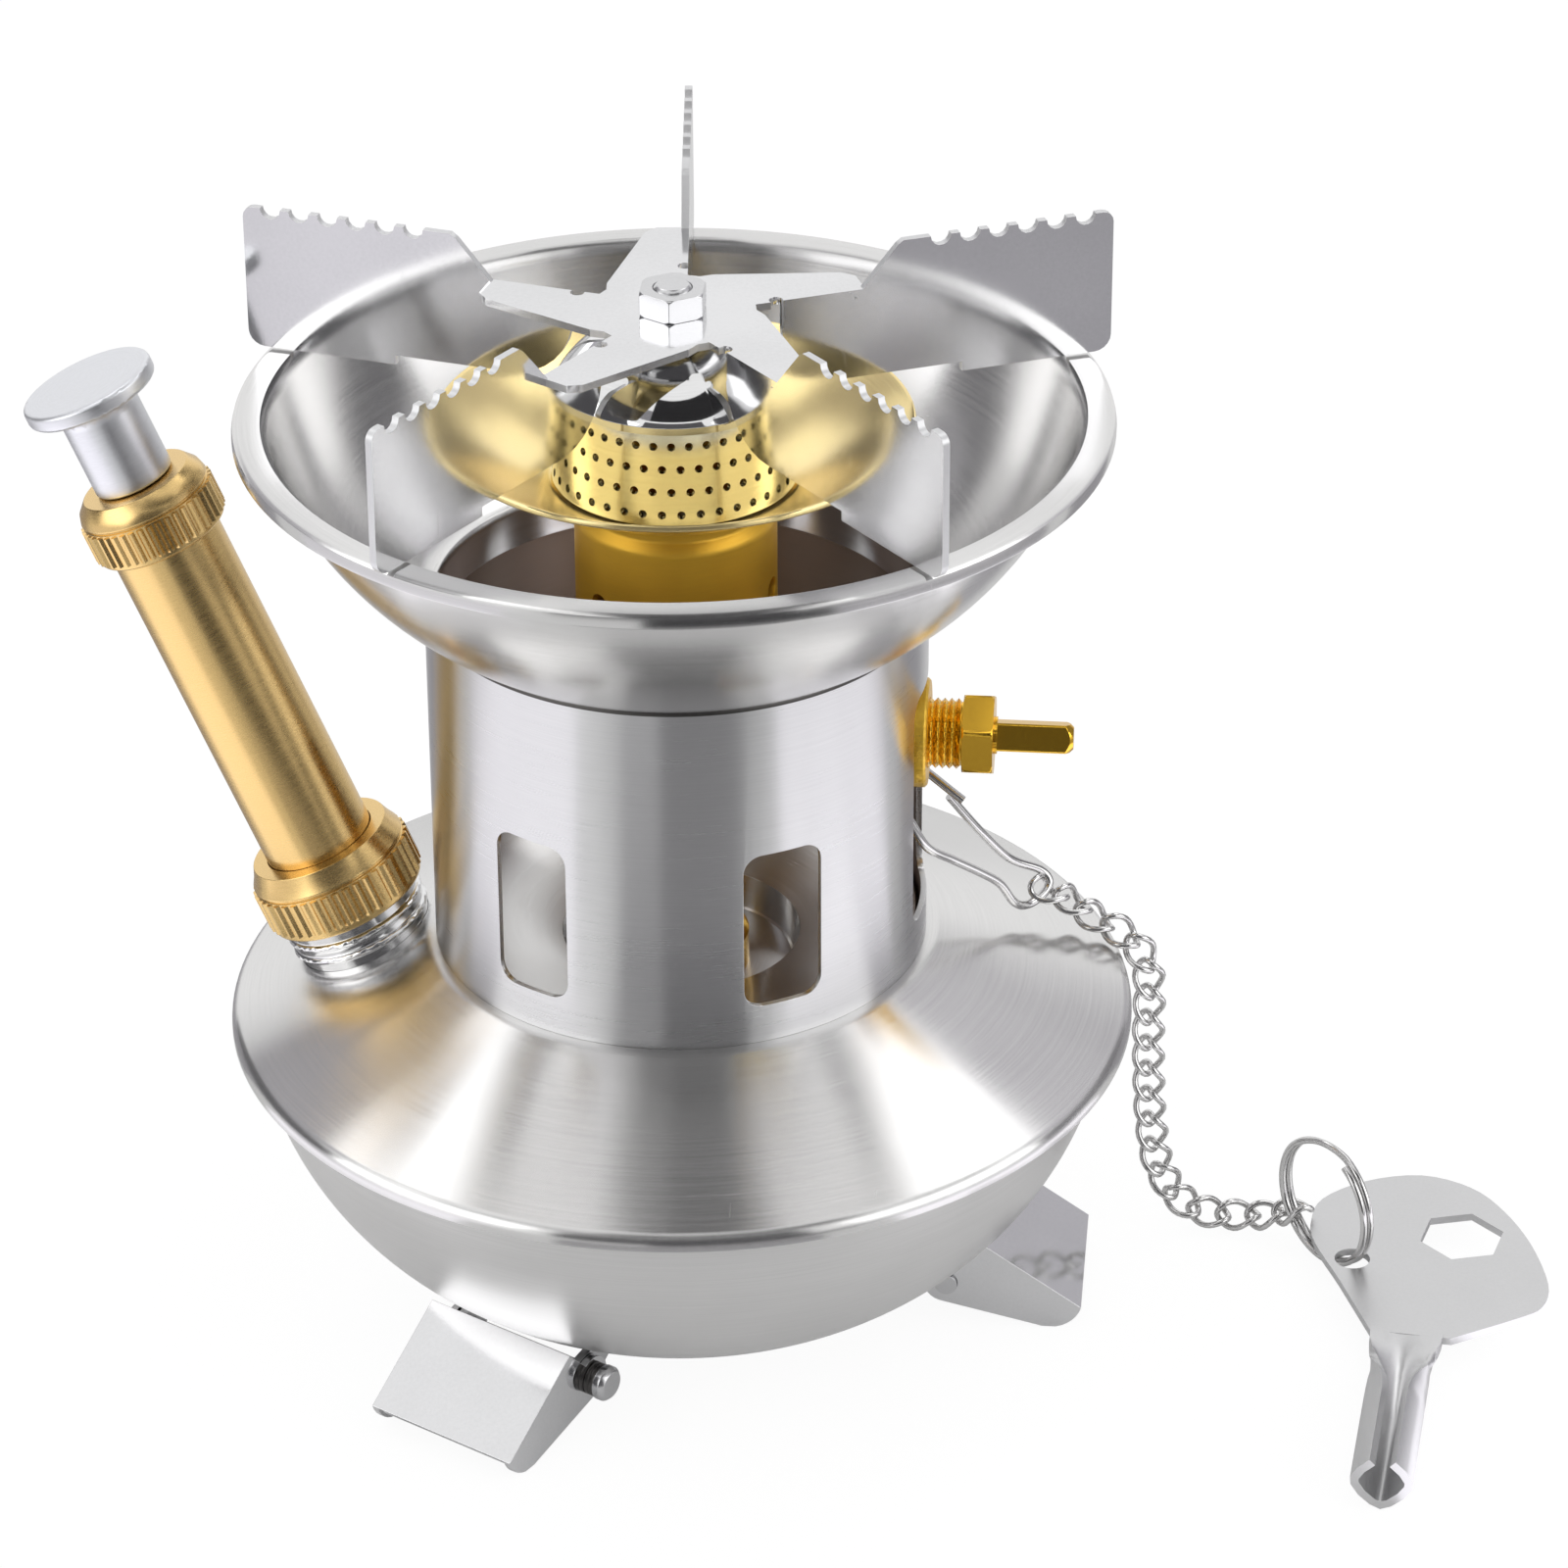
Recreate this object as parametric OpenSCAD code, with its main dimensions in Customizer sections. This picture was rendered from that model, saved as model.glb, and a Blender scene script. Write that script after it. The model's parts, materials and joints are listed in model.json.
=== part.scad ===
// Pumped gasoline camping stove: a fuel tank on three folding feet, a valve and burner on a riser
// inside a windowed neck, a wind bowl, a five-bladed pot support, a hand pump and a key on a chain.
// Millimetres, +Z up, floor at z = 0, tank axis on Z, valve spindle along +X, pump leaning to -X.

/* [Tank] */
// Radius of the tank at its rim
tank_r = 60; // [58:0.5:62]
// Height of the rim's lower edge above the floor
rim_z = 42; // [41:0.5:44]
// Height of the flat underside above the floor
underside_z = 9.7; // [9.4:0.1:10.4]
// Sheet thickness of both shells
shell_t = 1; // [0.8:0.1:1.1]
// Slope of the upper shell in degrees
shell_slope = 22.5; // [21:0.5:24]
// Outer radius of the bend at the rim
rim_bend = 2; // [1.8:0.1:2.6]
// Height of the straight lip under the bend
rim_lip = 0.5; // [0.4:0.1:1]
// Radius of the lower shell's side curve
side_curve = 44.6; // [43:0.2:47]
// Draft of the side curve at its top in degrees
side_draft = 6.5; // [5:0.5:8]
// Radius between the side curve and the underside
base_fillet = 8; // [7:0.5:9]
// How far the rim stands out past the lower shell
rim_overhang = 2.8; // [2.6:0.1:3.2]
// Radius of the priming well at its floor
well_r = 15.4; // [14.5:0.1:16]
// Depth of the priming well's floor below the land
well_depth = 5.73; // [5:0.1:6.5]

/* [Feet] */
// Width of a foot across its flanges
foot_w = 22.7; // [21:0.1:24]
// Sheet thickness of the feet
foot_t = 1; // [0.8:0.1:1.2]
// How far the toes stand in from the tank's rim
toe_inset = 5.2; // [4:0.1:6.5]
// Height of the upper edge of a foot's plate
foot_top_z = 12.6; // [12.3:0.1:13]
// Gap between an unfolded foot and the tank
foot_gap = 0.5; // [0.4:0.05:0.7]
// Radius of a foot's toe
toe_r = 4.5; // [4:0.1:5]
// Distance of the hinge pins from the tank's rim
hinge_inset = 23.6; // [23.2:0.1:24]
// Drop of the hinge pins below the underside
hinge_drop = 3.4; // [3.3:0.1:3.7]
// Radius of the ears round the pin
ear_r = 3; // [2.7:0.1:3.1]
// Thickness of the hinge brackets
bracket_t = 1.2; // [1:0.1:1.4]
// Side gap between a foot and its bracket
ear_gap = 0.25; // [0.15:0.05:0.4]
// Diameter of the hinge pins
pin_d = 3; // [2.6:0.1:3.2]
// Radial clearance of the feet on their pins
pin_fit = 0.05; // [0.02:0.01:0.1]

/* [Neck and bowl] */
// Outer radius of the neck shield
neck_r = 32.5; // [32.2:0.1:33.2]
// Sheet thickness of the neck shield
neck_t = 0.8; // [0.6:0.1:0.9]
// Height of the neck's top edge above the floor
neck_top = 104.2; // [102:0.2:106]
// Width of a neck window
window_w = 10.8; // [9:0.2:12]
// Height of a neck window
window_h = 22.2; // [18:0.2:26]
// Height of the window sills above the floor
sill_z = 60.1; // [59.5:0.1:62]
// Corner radius of the windows
window_corner = 2.5; // [1.5:0.1:4]
// Width of the valve slot
slot_w = 17; // [16.8:0.1:18]
// Height of the valve slot above the valve axis
slot_up = 8.5; // [8:0.1:10]
// Radius of the bowl's wall at its top
bowl_r = 52; // [51:0.2:53]
// Height of the bowl's flat lip above the floor
bowl_top = 130; // [128.6:0.2:130.2]
// Width of the bowl's flat lip
bowl_lip = 4; // [3:0.1:4.4]
// Drop of the lip's turned-down hem
bowl_hem = 1.4; // [1:0.1:2]
// Radius of the bowl's wall curve
bowl_curve = 48; // [42:0.5:56]
// Sheet thickness of the bowl
bowl_t = 0.8; // [0.6:0.1:0.9]

/* [Riser and valve] */
// Height of the valve axis above the floor
valve_z = 84.6; // [84:0.1:85.2]
// Radius of the riser column
riser_r = 9; // [8.6:0.1:9.6]
// Radius of the riser's top spigot
riser_top_r = 6; // [5.8:0.1:6.4]
// Radius of the valve boss
boss_r = 5.2; // [5:0.1:5.4]
// Radius of the boss flange
flange_r = 7.15; // [6.8:0.05:7.4]
// Thickness of the boss flange
flange_t = 2.3; // [1.8:0.1:2.6]
// Distance of the flange's inner face from the tank axis
flange_x = 30.4; // [30:0.1:30.8]
// Radius of the gland nut's thread
gland_thread_r = 4.6; // [4.5:0.05:4.7]
// Pitch of the gland nut's thread
gland_pitch = 0.9; // [0.7:0.1:1.1]
// Visible length of the thread before the gland nut's head
thread_gap = 4.5; // [4:0.1:5]
// Width across flats of the gland nut's head
gland_af = 10; // [9.8:0.05:10]
// Thickness of the gland nut's head
gland_t = 4; // [3.6:0.1:4.6]
// Diameter of the valve spindle
spindle_d = 4.9; // [4.7:0.05:5]
// Width across flats of the spindle's square end
spindle_square = 3.7; // [3.5:0.05:3.8]
// Turn of the spindle's square end at rest in degrees
square_turn = 20; // [0:5:40]
// Length of the spindle's square end outside the nut
spindle_end = 10.3; // [8:0.1:12]
// Radial clearance of the spindle in its bore
spindle_fit = 0.05; // [0.02:0.01:0.08]
// Radius of the pick-up tube
pickup_r = 4; // [3.8:0.1:4.2]
// Radius of the wick
wick_r = 2.8; // [2.6:0.1:2.9]

/* [Burner] */
// Outer radius of the mixing cup
cup_r = 13; // [12.5:0.1:13.5]
// Sheet thickness of the mixing cup
cup_t = 0.9; // [0.7:0.1:1]
// Height of the mixing cup's floor
cup_floor = 97.2; // [97:0.1:98]
// Height of the mixing cup's shoulder
cup_shoulder = 116; // [114:0.2:117]
// Height of the cup's throat between its shoulder and the saucer
throat_h = 4.2; // [3.6:0.1:5]
// Radius of the mixing cup's throat
cup_throat = 11.3; // [10.8:0.1:11.6]
// Radius of the saucer's edge
saucer_r = 30.7; // [28:0.1:33]
// Rise of the saucer's edge
saucer_rise = 8; // [6:0.1:9]
// Sheet thickness of saucer, cone and cap
brass_t = 0.8; // [0.6:0.1:0.9]
// Air holes round the mixing cup
air_holes = 6; // [4:1:8]
// Diameter of the air holes
air_hole_d = 3; // [2:0.1:4]
// Radius of the flame cone at its foot
cone_foot_r = 15.4; // [14.8:0.1:15.8]
// Radius of the flame cone at its top
cone_top_r = 13.5; // [13:0.1:13.7]
// Holes in each row of the flame cone
flame_holes = 40; // [24:2:44]
// Diameter of the flame holes
flame_hole_d = 1.05; // [0.8:0.05:1.2]
// Radius of the dome cap
dome_r = 15; // [14.8:0.1:15.6]
// Height of the dome cap's rim above the saucer
cone_h = 13.4; // [13:0.1:13.8]
// Height of the dome cap
dome_h = 9.2; // [8.6:0.1:9.6]

/* [Pot support] */
// Sheet thickness of the pot support
support_t = 1; // [0.8:0.1:1.2]
// Turn of the first arm in degrees
star_turn = 23; // [20:0.5:28]
// Radius of the star's hub
hub_r = 10.5; // [9.5:0.1:11.5]
// How far the arms' flat part reaches
arm_reach = 25; // [24.6:0.1:25.4]
// Offset of the fold from the arm's radial line
fold_offset = 1.7; // [1.3:0.1:2.1]
// Width of an arm's free side at its root
arm_root = 8.5; // [7.5:0.1:9]
// Width of an arm's free side at its tip
arm_tip = 4; // [3:0.1:5]
// How far the blades reach from the axis
blade_reach = 58.3; // [57:0.1:60]
// Rise of the blades above the star plate
blade_up = 6; // [5.6:0.1:7]
// Scallops along each blade
scallops = 6; // [4:1:6]
// Width of a scallop as a share of its pitch
scallop_share = 0.7; // [0.5:0.05:0.8]
// Diameter of the centre stud
stud_d = 5; // [4.6:0.1:5]
// Width across flats of the stud nut
nut_af = 8; // [7.6:0.1:9]
// Height of the stud nut
nut_h = 3.2; // [2.8:0.1:4]

/* [Pump] */
// Distance of the pump's foot from the neck shield
pump_gap = 9.8; // [9.6:0.05:10.2]
// Outer radius of the filler neck
filler_r = 9.2; // [9.1:0.05:9.4]
// Length of the filler neck above the tank
filler_h = 10.4; // [10.2:0.1:10.6]
// Outer radius of the pump nut
pump_nut_r = 11.1; // [10.9:0.1:11.4]
// Outer radius of the pump barrel
barrel_r = 7.4; // [7.3:0.05:7.5]
// Wall of the pump barrel
barrel_wall = 0.9; // [0.8:0.05:1]
// Length of the barrel above the tank
barrel_up = 66; // [62:0.5:70]
// Length of the barrel inside the tank
barrel_down = 28; // [27:0.5:29]
// Outer radius of the pump cap
pump_cap_r = 9.2; // [8.9:0.1:9.6]
// Height of the pump cap
pump_cap_h = 8.5; // [8:0.1:9.5]
// Radius of the knob's neck
knob_neck_r = 5.3; // [5:0.1:5.6]
// Radius of the knob's disc
knob_disc_r = 8.85; // [8.4:0.05:9.2]
// Height of the knob
knob_h = 14.7; // [13:0.1:16]
// Radius of the plunger rod
rod_r = 2; // [1.8:0.1:2.2]
// Radial clearance of the plunger
plunger_fit = 0.06; // [0.03:0.01:0.1]
// Grooves round each knurl
knurls = 44; // [36:1:50]
// Depth of the knurls
knurl_depth = 0.4; // [0.2:0.05:0.5]
// Turns of the check valve's spring
spring_turns = 5; // [4:1:6]
// Wire of the check valve's spring
spring_wire = 0.5; // [0.4:0.05:0.6]

/* [Clip, chain and key] */
// Wire of the clip
clip_wire = 1.2; // [1:0.05:1.3]
// Wire of the chain links
link_wire = 0.85; // [0.75:0.01:0.9]
// Half length of a link's middle line
link_l = 2.9; // [2.86:0.02:3]
// Half width of a link's middle line
link_w = 1.9; // [1.88:0.01:1.96]
// Twist of a link from its middle to its end in degrees
link_twist = 60; // [58:1:62]
// Radius of the split ring
ring_r = 8.8; // [8.6:0.1:9]
// Wire of the split ring
ring_wire = 1; // [0.9:0.02:1.04]
// Sheet thickness of the key
key_t = 1.1; // [1:0.05:1.2]
// Width across flats of the key's hexagonal hole
key_hex = 10.2; // [10.1:0.05:10.6]
// Inner side of the key's square socket
key_square = 4; // [3.9:0.05:4.3]
// Radius of the key's small hole
key_hole_r = 2.4; // [2.3:0.1:2.6]

/* [Hidden] */
$fn = 96;
eps = 0.01;
steel = [0.78, 0.79, 0.8];
dark_steel = [0.5, 0.5, 0.52];
brass = [0.83, 0.68, 0.35];
aluminium = [0.72, 0.73, 0.75];
nickel = [0.7, 0.7, 0.72];
black = [0.1, 0.1, 0.1];
hide = [0.45, 0.3, 0.18];
cotton = [0.85, 0.83, 0.76];
foot_angles = [0, 120, 240];

// Point functions
function unit(v) = v / norm(v);
function left(v) = [-v[1], v[0]];
function arc(c, r, a0, a1, n) =
  [for (i = [0:n]) let (a = a0 + (a1 - a0) * i / n) [c[0] + r * cos(a), c[1] + r * sin(a)]];
function miter(p, i) =
  let (
    n = len(p) - 1,
    d0 = i == n ? unit(p[n] - p[n - 1]) : unit(p[i + 1] - p[i]),
    d1 = i == 0 ? d0 : unit(p[i] - p[i - 1])
  )
  (left(d0) + left(d1)) / (1 + d0 * d1);
function sheet(p, t) = concat(
  [for (i = [0:len(p) - 1]) p[i] + miter(p, i) * t / 2],
  [for (i = [len(p) - 1:-1:0]) p[i] - miter(p, i) * t / 2]
);
function centre_left(p, q, r) =
  (p + q) / 2 + left(unit(q - p)) * sqrt(r * r - pow(norm(q - p) / 2, 2));
function angle_of(v) = atan2(v[1], v[0]);
function rounded_rect(w, h, r) = concat(
  arc([w / 2 - r, r], r, -90, 0, 5),
  arc([w / 2 - r, h - r], r, 0, 90, 5),
  arc([r - w / 2, h - r], r, 90, 180, 5),
  arc([r - w / 2, r], r, 180, 270, 5)
);
function star(n, r, depth) =
  [for (i = [0:2 * n - 1])
    let (a = 180 * i / n, q = i % 2 == 0 ? r : r - depth)
    [q * cos(a), q * sin(a)]];

// Curves in space
function catmull(p, i, u) =
  let (a = p[max(i - 1, 0)], b = p[i], c = p[i + 1], d = p[min(i + 2, len(p) - 1)])
  (2 * b + (c - a) * u + (2 * a - 5 * b + 4 * c - d) * u * u + (3 * b - 3 * c + d - a) * u * u * u) / 2;
function smoothed(p, n) = concat(
  [for (i = [0:len(p) - 2]) for (k = [0:n - 1]) catmull(p, i, k / n)],
  [p[len(p) - 1]]
);
function run_lengths(p, i = 0, s = 0) =
  i == len(p) - 1 ? [s] : concat([s], run_lengths(p, i + 1, s + norm(p[i + 1] - p[i])));
function along(p, runs, s, i = 0) =
  i == len(p) - 2 || s <= runs[i + 1]
    ? p[i] + (p[i + 1] - p[i]) * (s - runs[i]) / (runs[i + 1] - runs[i])
    : along(p, runs, s, i + 1);
function tangents(p) =
  [for (i = [0:len(p) - 1]) unit(p[min(i + 1, len(p) - 1)] - p[max(i - 1, 0)])];
function carried(t, n, i = 0) =
  i == len(t) ? [] : let (m = unit(n - t[i] * (n * t[i]))) concat([m], carried(t, m, i + 1));
function rings(p, t, n, r, sides) =
  [for (i = [0:len(p) - 1]) for (k = [0:sides - 1])
    let (a = 360 * k / sides) p[i] + r * (cos(a) * n[i] + sin(a) * cross(t[i], n[i]))];
function skins(count, sides, closed) =
  [for (i = [0:count - (closed ? 1 : 2)]) for (k = [0:sides - 1])
    let (j = (i + 1) % count, m = (k + 1) % sides)
    each [[i * sides + k, j * sides + k, j * sides + m], [i * sides + k, j * sides + m, i * sides + m]]];
function fan(first, sides, flip) =
  [for (k = [1:sides - 2]) flip ? [first, first + k, first + k + 1] : [first, first + k + 1, first + k]];

module tube(p, start, r, sides) {
  t = tangents(p);
  polyhedron(
    rings(p, t, carried(t, start), r, sides),
    concat(skins(len(p), sides, false), fan(0, sides, true), fan((len(p) - 1) * sides, sides, false))
  );
}

module spun(points) {
  rotate_extrude()
    polygon(points);
}

module round_hole(r, h0, h1) {
  translate([0, 0, h0])
    cylinder(h = h1 - h0, r = r);
}

module hex(af, h, bore) {
  r = af / sqrt(3);
  c = (r - af / 2) * 0.58;
  difference() {
    intersection() {
      cylinder(h = h, r = r, $fn = 6);
      spun([[0, 0], [r - c, 0], [r + eps, c], [r + eps, h - c], [r - c, h], [0, h]]);
    }
    round_hole(bore, -1, h + 1);
  }
}

// Tank
slope = tan(shell_slope);
lip_r = tank_r - shell_t / 2;
bend_c = [tank_r - rim_bend, rim_z + rim_lip];
bend_mid = rim_bend - shell_t / 2;
cone_start = bend_c + bend_mid * [sin(shell_slope), cos(shell_slope)];
function cone_z(r) = cone_start[1] + (cone_start[0] - r) * slope;
collar_r = neck_r - neck_t - 0.2 - shell_t / 2;
land_r = neck_r + 1.1;
land_z = cone_z(land_r);
land_top = land_z + shell_t / 2;
well_z = land_z - well_depth;
well_top = well_z + shell_t / 2;
spigot_r = 5;
upper_mid = concat(
  [[lip_r, rim_z]],
  arc(bend_c, bend_mid, 0, 90 - shell_slope, 6),
  [
    [land_r, land_z], [collar_r, land_z], [collar_r, land_z + 2.8], [collar_r - 1, land_z + 3.1],
    [well_r + 0.8, land_z - 1], [well_r, well_z], [spigot_r + 0.05, well_z]
  ]
);
side_top = [tank_r - rim_overhang, rim_z + 0.3];
side_c = side_top + side_curve * [-cos(side_draft), sin(side_draft)];
fillet_z = underside_z + base_fillet;
fillet_c = [
  side_c[0] + sqrt(pow(side_curve - base_fillet, 2) - pow(side_c[1] - fillet_z, 2)),
  fillet_z
];
fillet_end = angle_of(fillet_c - side_c);
function lower_r(z) = side_c[0] + sqrt(side_curve * side_curve - pow(side_c[1] - z, 2));
lower_mid = concat(
  [[0, underside_z + shell_t / 2]],
  arc(fillet_c, base_fillet - shell_t / 2, -90, fillet_end, 6),
  arc(side_c, side_curve - shell_t / 2, fillet_end + 2, -side_draft - 1, 20),
  [
    [side_top[0] - shell_t / 2, rim_z + shell_t / 2 + 0.02],
    [tank_r - shell_t - 0.4, rim_z + shell_t / 2 + 0.02]
  ]
);
pump_r = neck_r + pump_gap;
pump_foot = [-pump_r, 0, cone_z(pump_r)];
module at_pump() {
  translate(pump_foot)
    rotate([0, -shell_slope, 0])
      children();
}

module tank_upper_shell() {
  color(steel)
    difference() {
      spun(sheet(upper_mid, shell_t));
      at_pump()
        round_hole(filler_r + 0.05, -6, 6);
    }
}

module tank_lower_shell() {
  color(steel)
    spun(sheet(lower_mid, shell_t));
}

// Feet
hinge_r = tank_r - hinge_inset;
foot_reach = tank_r - toe_inset;
hinge = [hinge_r, underside_z - hinge_drop];
toe_flat = 12;
foot_in = [lower_r(foot_top_z) + foot_gap, foot_top_z];
toe_c = [foot_reach - toe_r, toe_r * cos(toe_flat)];
foot_side = concat(
  [foot_in],
  arc(toe_c, toe_r, -15, toe_flat - 90, 6),
  arc(toe_c, toe_r, -90 - toe_flat, -110, 2),
  arc(hinge, ear_r, -106, -300, 14)
);
foot_out = foot_side[1];
plate_down = -left(unit(foot_out - foot_in)) * foot_t;
flange_y = foot_w / 2 - foot_t / 2;
ear_y = foot_w / 2 - foot_t - ear_gap - bracket_t / 2;
washer_t = 0.7;
head_y = foot_w / 2 + 2 * washer_t + 0.1;

module upright(points, t, y) {
  translate([0, y, 0])
    rotate([90, 0, 0])
      linear_extrude(t, center = true)
        polygon(points);
}

module across(r, y0, y1) {
  translate([hinge[0], y1, hinge[1]])
    rotate([90, 0, 0])
      cylinder(h = y1 - y0, r = r);
}

module foot(angle) {
  color(steel)
    rotate(angle)
      difference() {
        union() {
          for (side = [-1, 1])
            upright(foot_side, foot_t, side * flange_y);
          upright([foot_in, foot_out, foot_out + plate_down, foot_in + plate_down], foot_w - foot_t, 0);
        }
        across(pin_d / 2 + pin_fit, -foot_w, foot_w);
      }
}

module foot_right() {
  foot(foot_angles[0]);
}

module foot_rear() {
  foot(foot_angles[1]);
}

module foot_front() {
  foot(foot_angles[2]);
}

module hinge_brackets() {
  ear = concat(
    [[hinge_r - 7.4, underside_z], [hinge_r - 7.4, underside_z - bracket_t]],
    arc(hinge, ear_r - 0.1, -125, 60, 14),
    [[hinge_r - 2.6, underside_z]]
  );
  color(steel)
    for (angle = foot_angles)
      rotate(angle)
        difference() {
          union() {
            for (side = [-1, 1])
              upright(ear, bracket_t, side * ear_y);
            translate([hinge_r - 14.5, -ear_y, underside_z - bracket_t])
              cube([11.4, 2 * ear_y, bracket_t]);
          }
          across(pin_d / 2 + 0.02, -foot_w, foot_w);
        }
}

module hinge_pins() {
  head = [[0, 0], [pin_d * 0.8, 0], [pin_d * 0.8, 1], [pin_d * 0.62, 1.6], [0, 1.6]];
  color(steel)
    for (angle = foot_angles)
      rotate(angle)
        translate([hinge[0], 0, hinge[1]])
          rotate([-90, 0, 0]) {
            translate([0, 0, -foot_w / 2 - 0.6])
              cylinder(h = head_y + foot_w / 2 + 0.6 + eps, r = pin_d / 2);
            translate([0, 0, head_y])
              spun(head);
          }
}

module hinge_washers() {
  color(dark_steel)
    for (angle = foot_angles)
      rotate(angle)
        for (i = [0:1])
          difference() {
            y = foot_w / 2 + 0.05 + i * (washer_t + 0.02);
            across(pin_d / 2 + 0.75, y, y + washer_t);
            across(pin_d / 2 + 0.05, y - 1, y + washer_t + 1);
          }
}

// Neck and bowl
module neck_shield() {
  slot_h = valve_z + slot_up - sill_z;
  color(steel)
    difference() {
      translate([0, 0, land_top])
        cylinder(h = neck_top - land_top, r = neck_r);
      round_hole(neck_r - neck_t, land_top - 1, neck_top + 1);
      for (i = [0:5])
        rotate(60 * i)
          translate([neck_r - 6, 0, sill_z])
            rotate([90, 0, 90])
              linear_extrude(12)
                polygon(i == 0 ? rounded_rect(slot_w, slot_h, window_corner)
                               : rounded_rect(window_w, window_h, window_corner));
    }
}

bowl_foot = [neck_r + 0.3, neck_top + bowl_t / 2];
bowl_edge = [bowl_r, bowl_top - bowl_t / 2];
bowl_c = centre_left(bowl_foot, bowl_edge - [0, 0.4], bowl_curve);
bowl_spigot = neck_r - neck_t - 0.1 - bowl_t / 2;
bowl_mid = concat(
  [[bowl_spigot, neck_top - 5.2], [bowl_spigot, bowl_foot[1]]],
  arc(bowl_c, bowl_curve, angle_of(bowl_foot - bowl_c), angle_of(bowl_edge - [0, 0.4] - bowl_c), 16),
  [
    bowl_edge + [0.4, 0], bowl_edge + [bowl_lip - bowl_t / 2, 0],
    bowl_edge + [bowl_lip - bowl_t / 2, -bowl_hem]
  ]
);
module wind_bowl() {
  color(steel)
    spun(sheet(bowl_mid, bowl_t));
}

// Riser and valve
chamber_r = 4.6;
chamber_z = [valve_z - 8.5, valve_z + 10.2];
flange_end = flange_x + flange_t;
nut_x = flange_end + thread_gap;
housing_r = gland_thread_r + 1.4;
housing_x = flange_x - 1.8;
seat_x = housing_x + 0.5;
packing_x = seat_x - 3;
packing_r = spindle_d / 2 + 0.7;
bore_r = spindle_d / 2 + spindle_fit;
riser_top = cup_floor + 0.6;
wick_bore = wick_r + 0.2;
jet_stem = 2;
module along_x(x) {
  translate([x, 0, valve_z])
    rotate([0, 90, 0])
      children();
}

module vaporizer_body() {
  color(brass)
    difference() {
      union() {
        spun([
          [0, well_z - 6], [spigot_r, well_z - 6], [spigot_r, well_top], [riser_r, well_top],
          [riser_r, well_top + 4.5], [riser_r - 0.9, well_top + 5.2], [riser_r - 0.9, valve_z - 9.5],
          [riser_r, valve_z - 8.8], [riser_r, valve_z + 5.6], [riser_r - 1.2, valve_z + 6.8],
          [riser_top_r, valve_z + 6.8], [riser_top_r, riser_top], [0, riser_top]
        ]);
        along_x(0)
          cylinder(h = flange_x + 1, r = boss_r);
        along_x(housing_x)
          cylinder(h = flange_x - housing_x + 1, r = housing_r);
        along_x(flange_x)
          spun([
            [0, 0], [flange_r - 0.3, 0], [flange_r, 0.3], [flange_r, flange_t - 0.3],
            [flange_r - 0.3, flange_t], [0, flange_t]
          ]);
      }
      round_hole(wick_bore, well_z - 8, chamber_z[0] + 1);
      round_hole(pickup_r + 0.02, well_z - 8, well_z - 1.5);
      round_hole(chamber_r, chamber_z[0], chamber_z[1]);
      round_hole(jet_stem + 0.02, chamber_z[1] - 1, riser_top + 1);
      along_x(-7)
        cylinder(h = flange_end + 8, r = bore_r);
      along_x(packing_x)
        cylinder(h = 10, r = packing_r);
      along_x(seat_x)
        cylinder(h = 10, r = gland_thread_r + 0.02);
    }
}

module pickup_tube() {
  color(brass)
    difference() {
      round_hole(pickup_r, underside_z + shell_t + 2, well_z - 1.6);
      round_hole(wick_bore, underside_z, well_z);
    }
}

module wick() {
  color(cotton)
    round_hole(wick_r, underside_z + shell_t + 3, chamber_z[0] - 1);
}

module gland_nut() {
  depth = nut_x - seat_x;
  turns = floor((nut_x - flange_end) / gland_pitch);
  crests = [for (i = [0:turns - 1])
    let (x = flange_end - seat_x + 0.1 + i * gland_pitch)
    each [[gland_thread_r, x], [gland_thread_r - 0.45, x + gland_pitch / 2]]];
  color(brass)
    difference() {
      union() {
        along_x(seat_x + 0.02)
          spun(concat([[0, 0], [gland_thread_r, 0]], crests, [[gland_thread_r - 0.4, depth], [0, depth]]));
        along_x(nut_x)
          hex(gland_af, gland_t, bore_r);
      }
      along_x(seat_x - 1)
        cylinder(h = depth + gland_t + 2, r = bore_r);
    }
}

module gland_packing() {
  color(black)
    difference() {
      along_x(packing_x + 0.05)
        cylinder(h = seat_x - packing_x - 0.05, r = packing_r - 0.02);
      along_x(packing_x - 1)
        cylinder(h = 20, r = bore_r);
    }
}

gear_r = 2;
gear_pitch = gear_r * PI / 4;
function tooth(a) = [
  for (q = [[1.42, -13], [gear_r, -9.5], [2.4, -4], [2.4, 4], [gear_r, 9.5], [1.42, 13]])
    [q[0] * cos(a + q[1]), q[0] * sin(a + q[1])]
];
module valve_spindle() {
  nut_end = nut_x + gland_t;
  reach = nut_end + spindle_end;
  r = spindle_d / 2;
  color(brass)
    along_x(0)
      union() {
        translate([0, 0, -6.5])
          spun([[0, 0], [0.7, 0], [r, 1.8], [r, 4.9], [0, 4.9]]);
        rotate(90)
          translate([0, 0, -1.8])
            linear_extrude(3.6)
              polygon([for (i = [0:7]) each tooth(22.5 + 45 * i)]);
        translate([0, 0, 1.6])
          cylinder(h = nut_end - 1.6 + 0.4, r = r);
        intersection() {
          rotate(-square_turn)
            translate([-spindle_square / 2, -spindle_square / 2, nut_end])
              cube([spindle_square, spindle_square, spindle_end]);
          spun([[0, nut_end - 1], [r, nut_end - 1], [r, reach - 1], [r - 1, reach], [0, reach]]);
        }
      }
}

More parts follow.
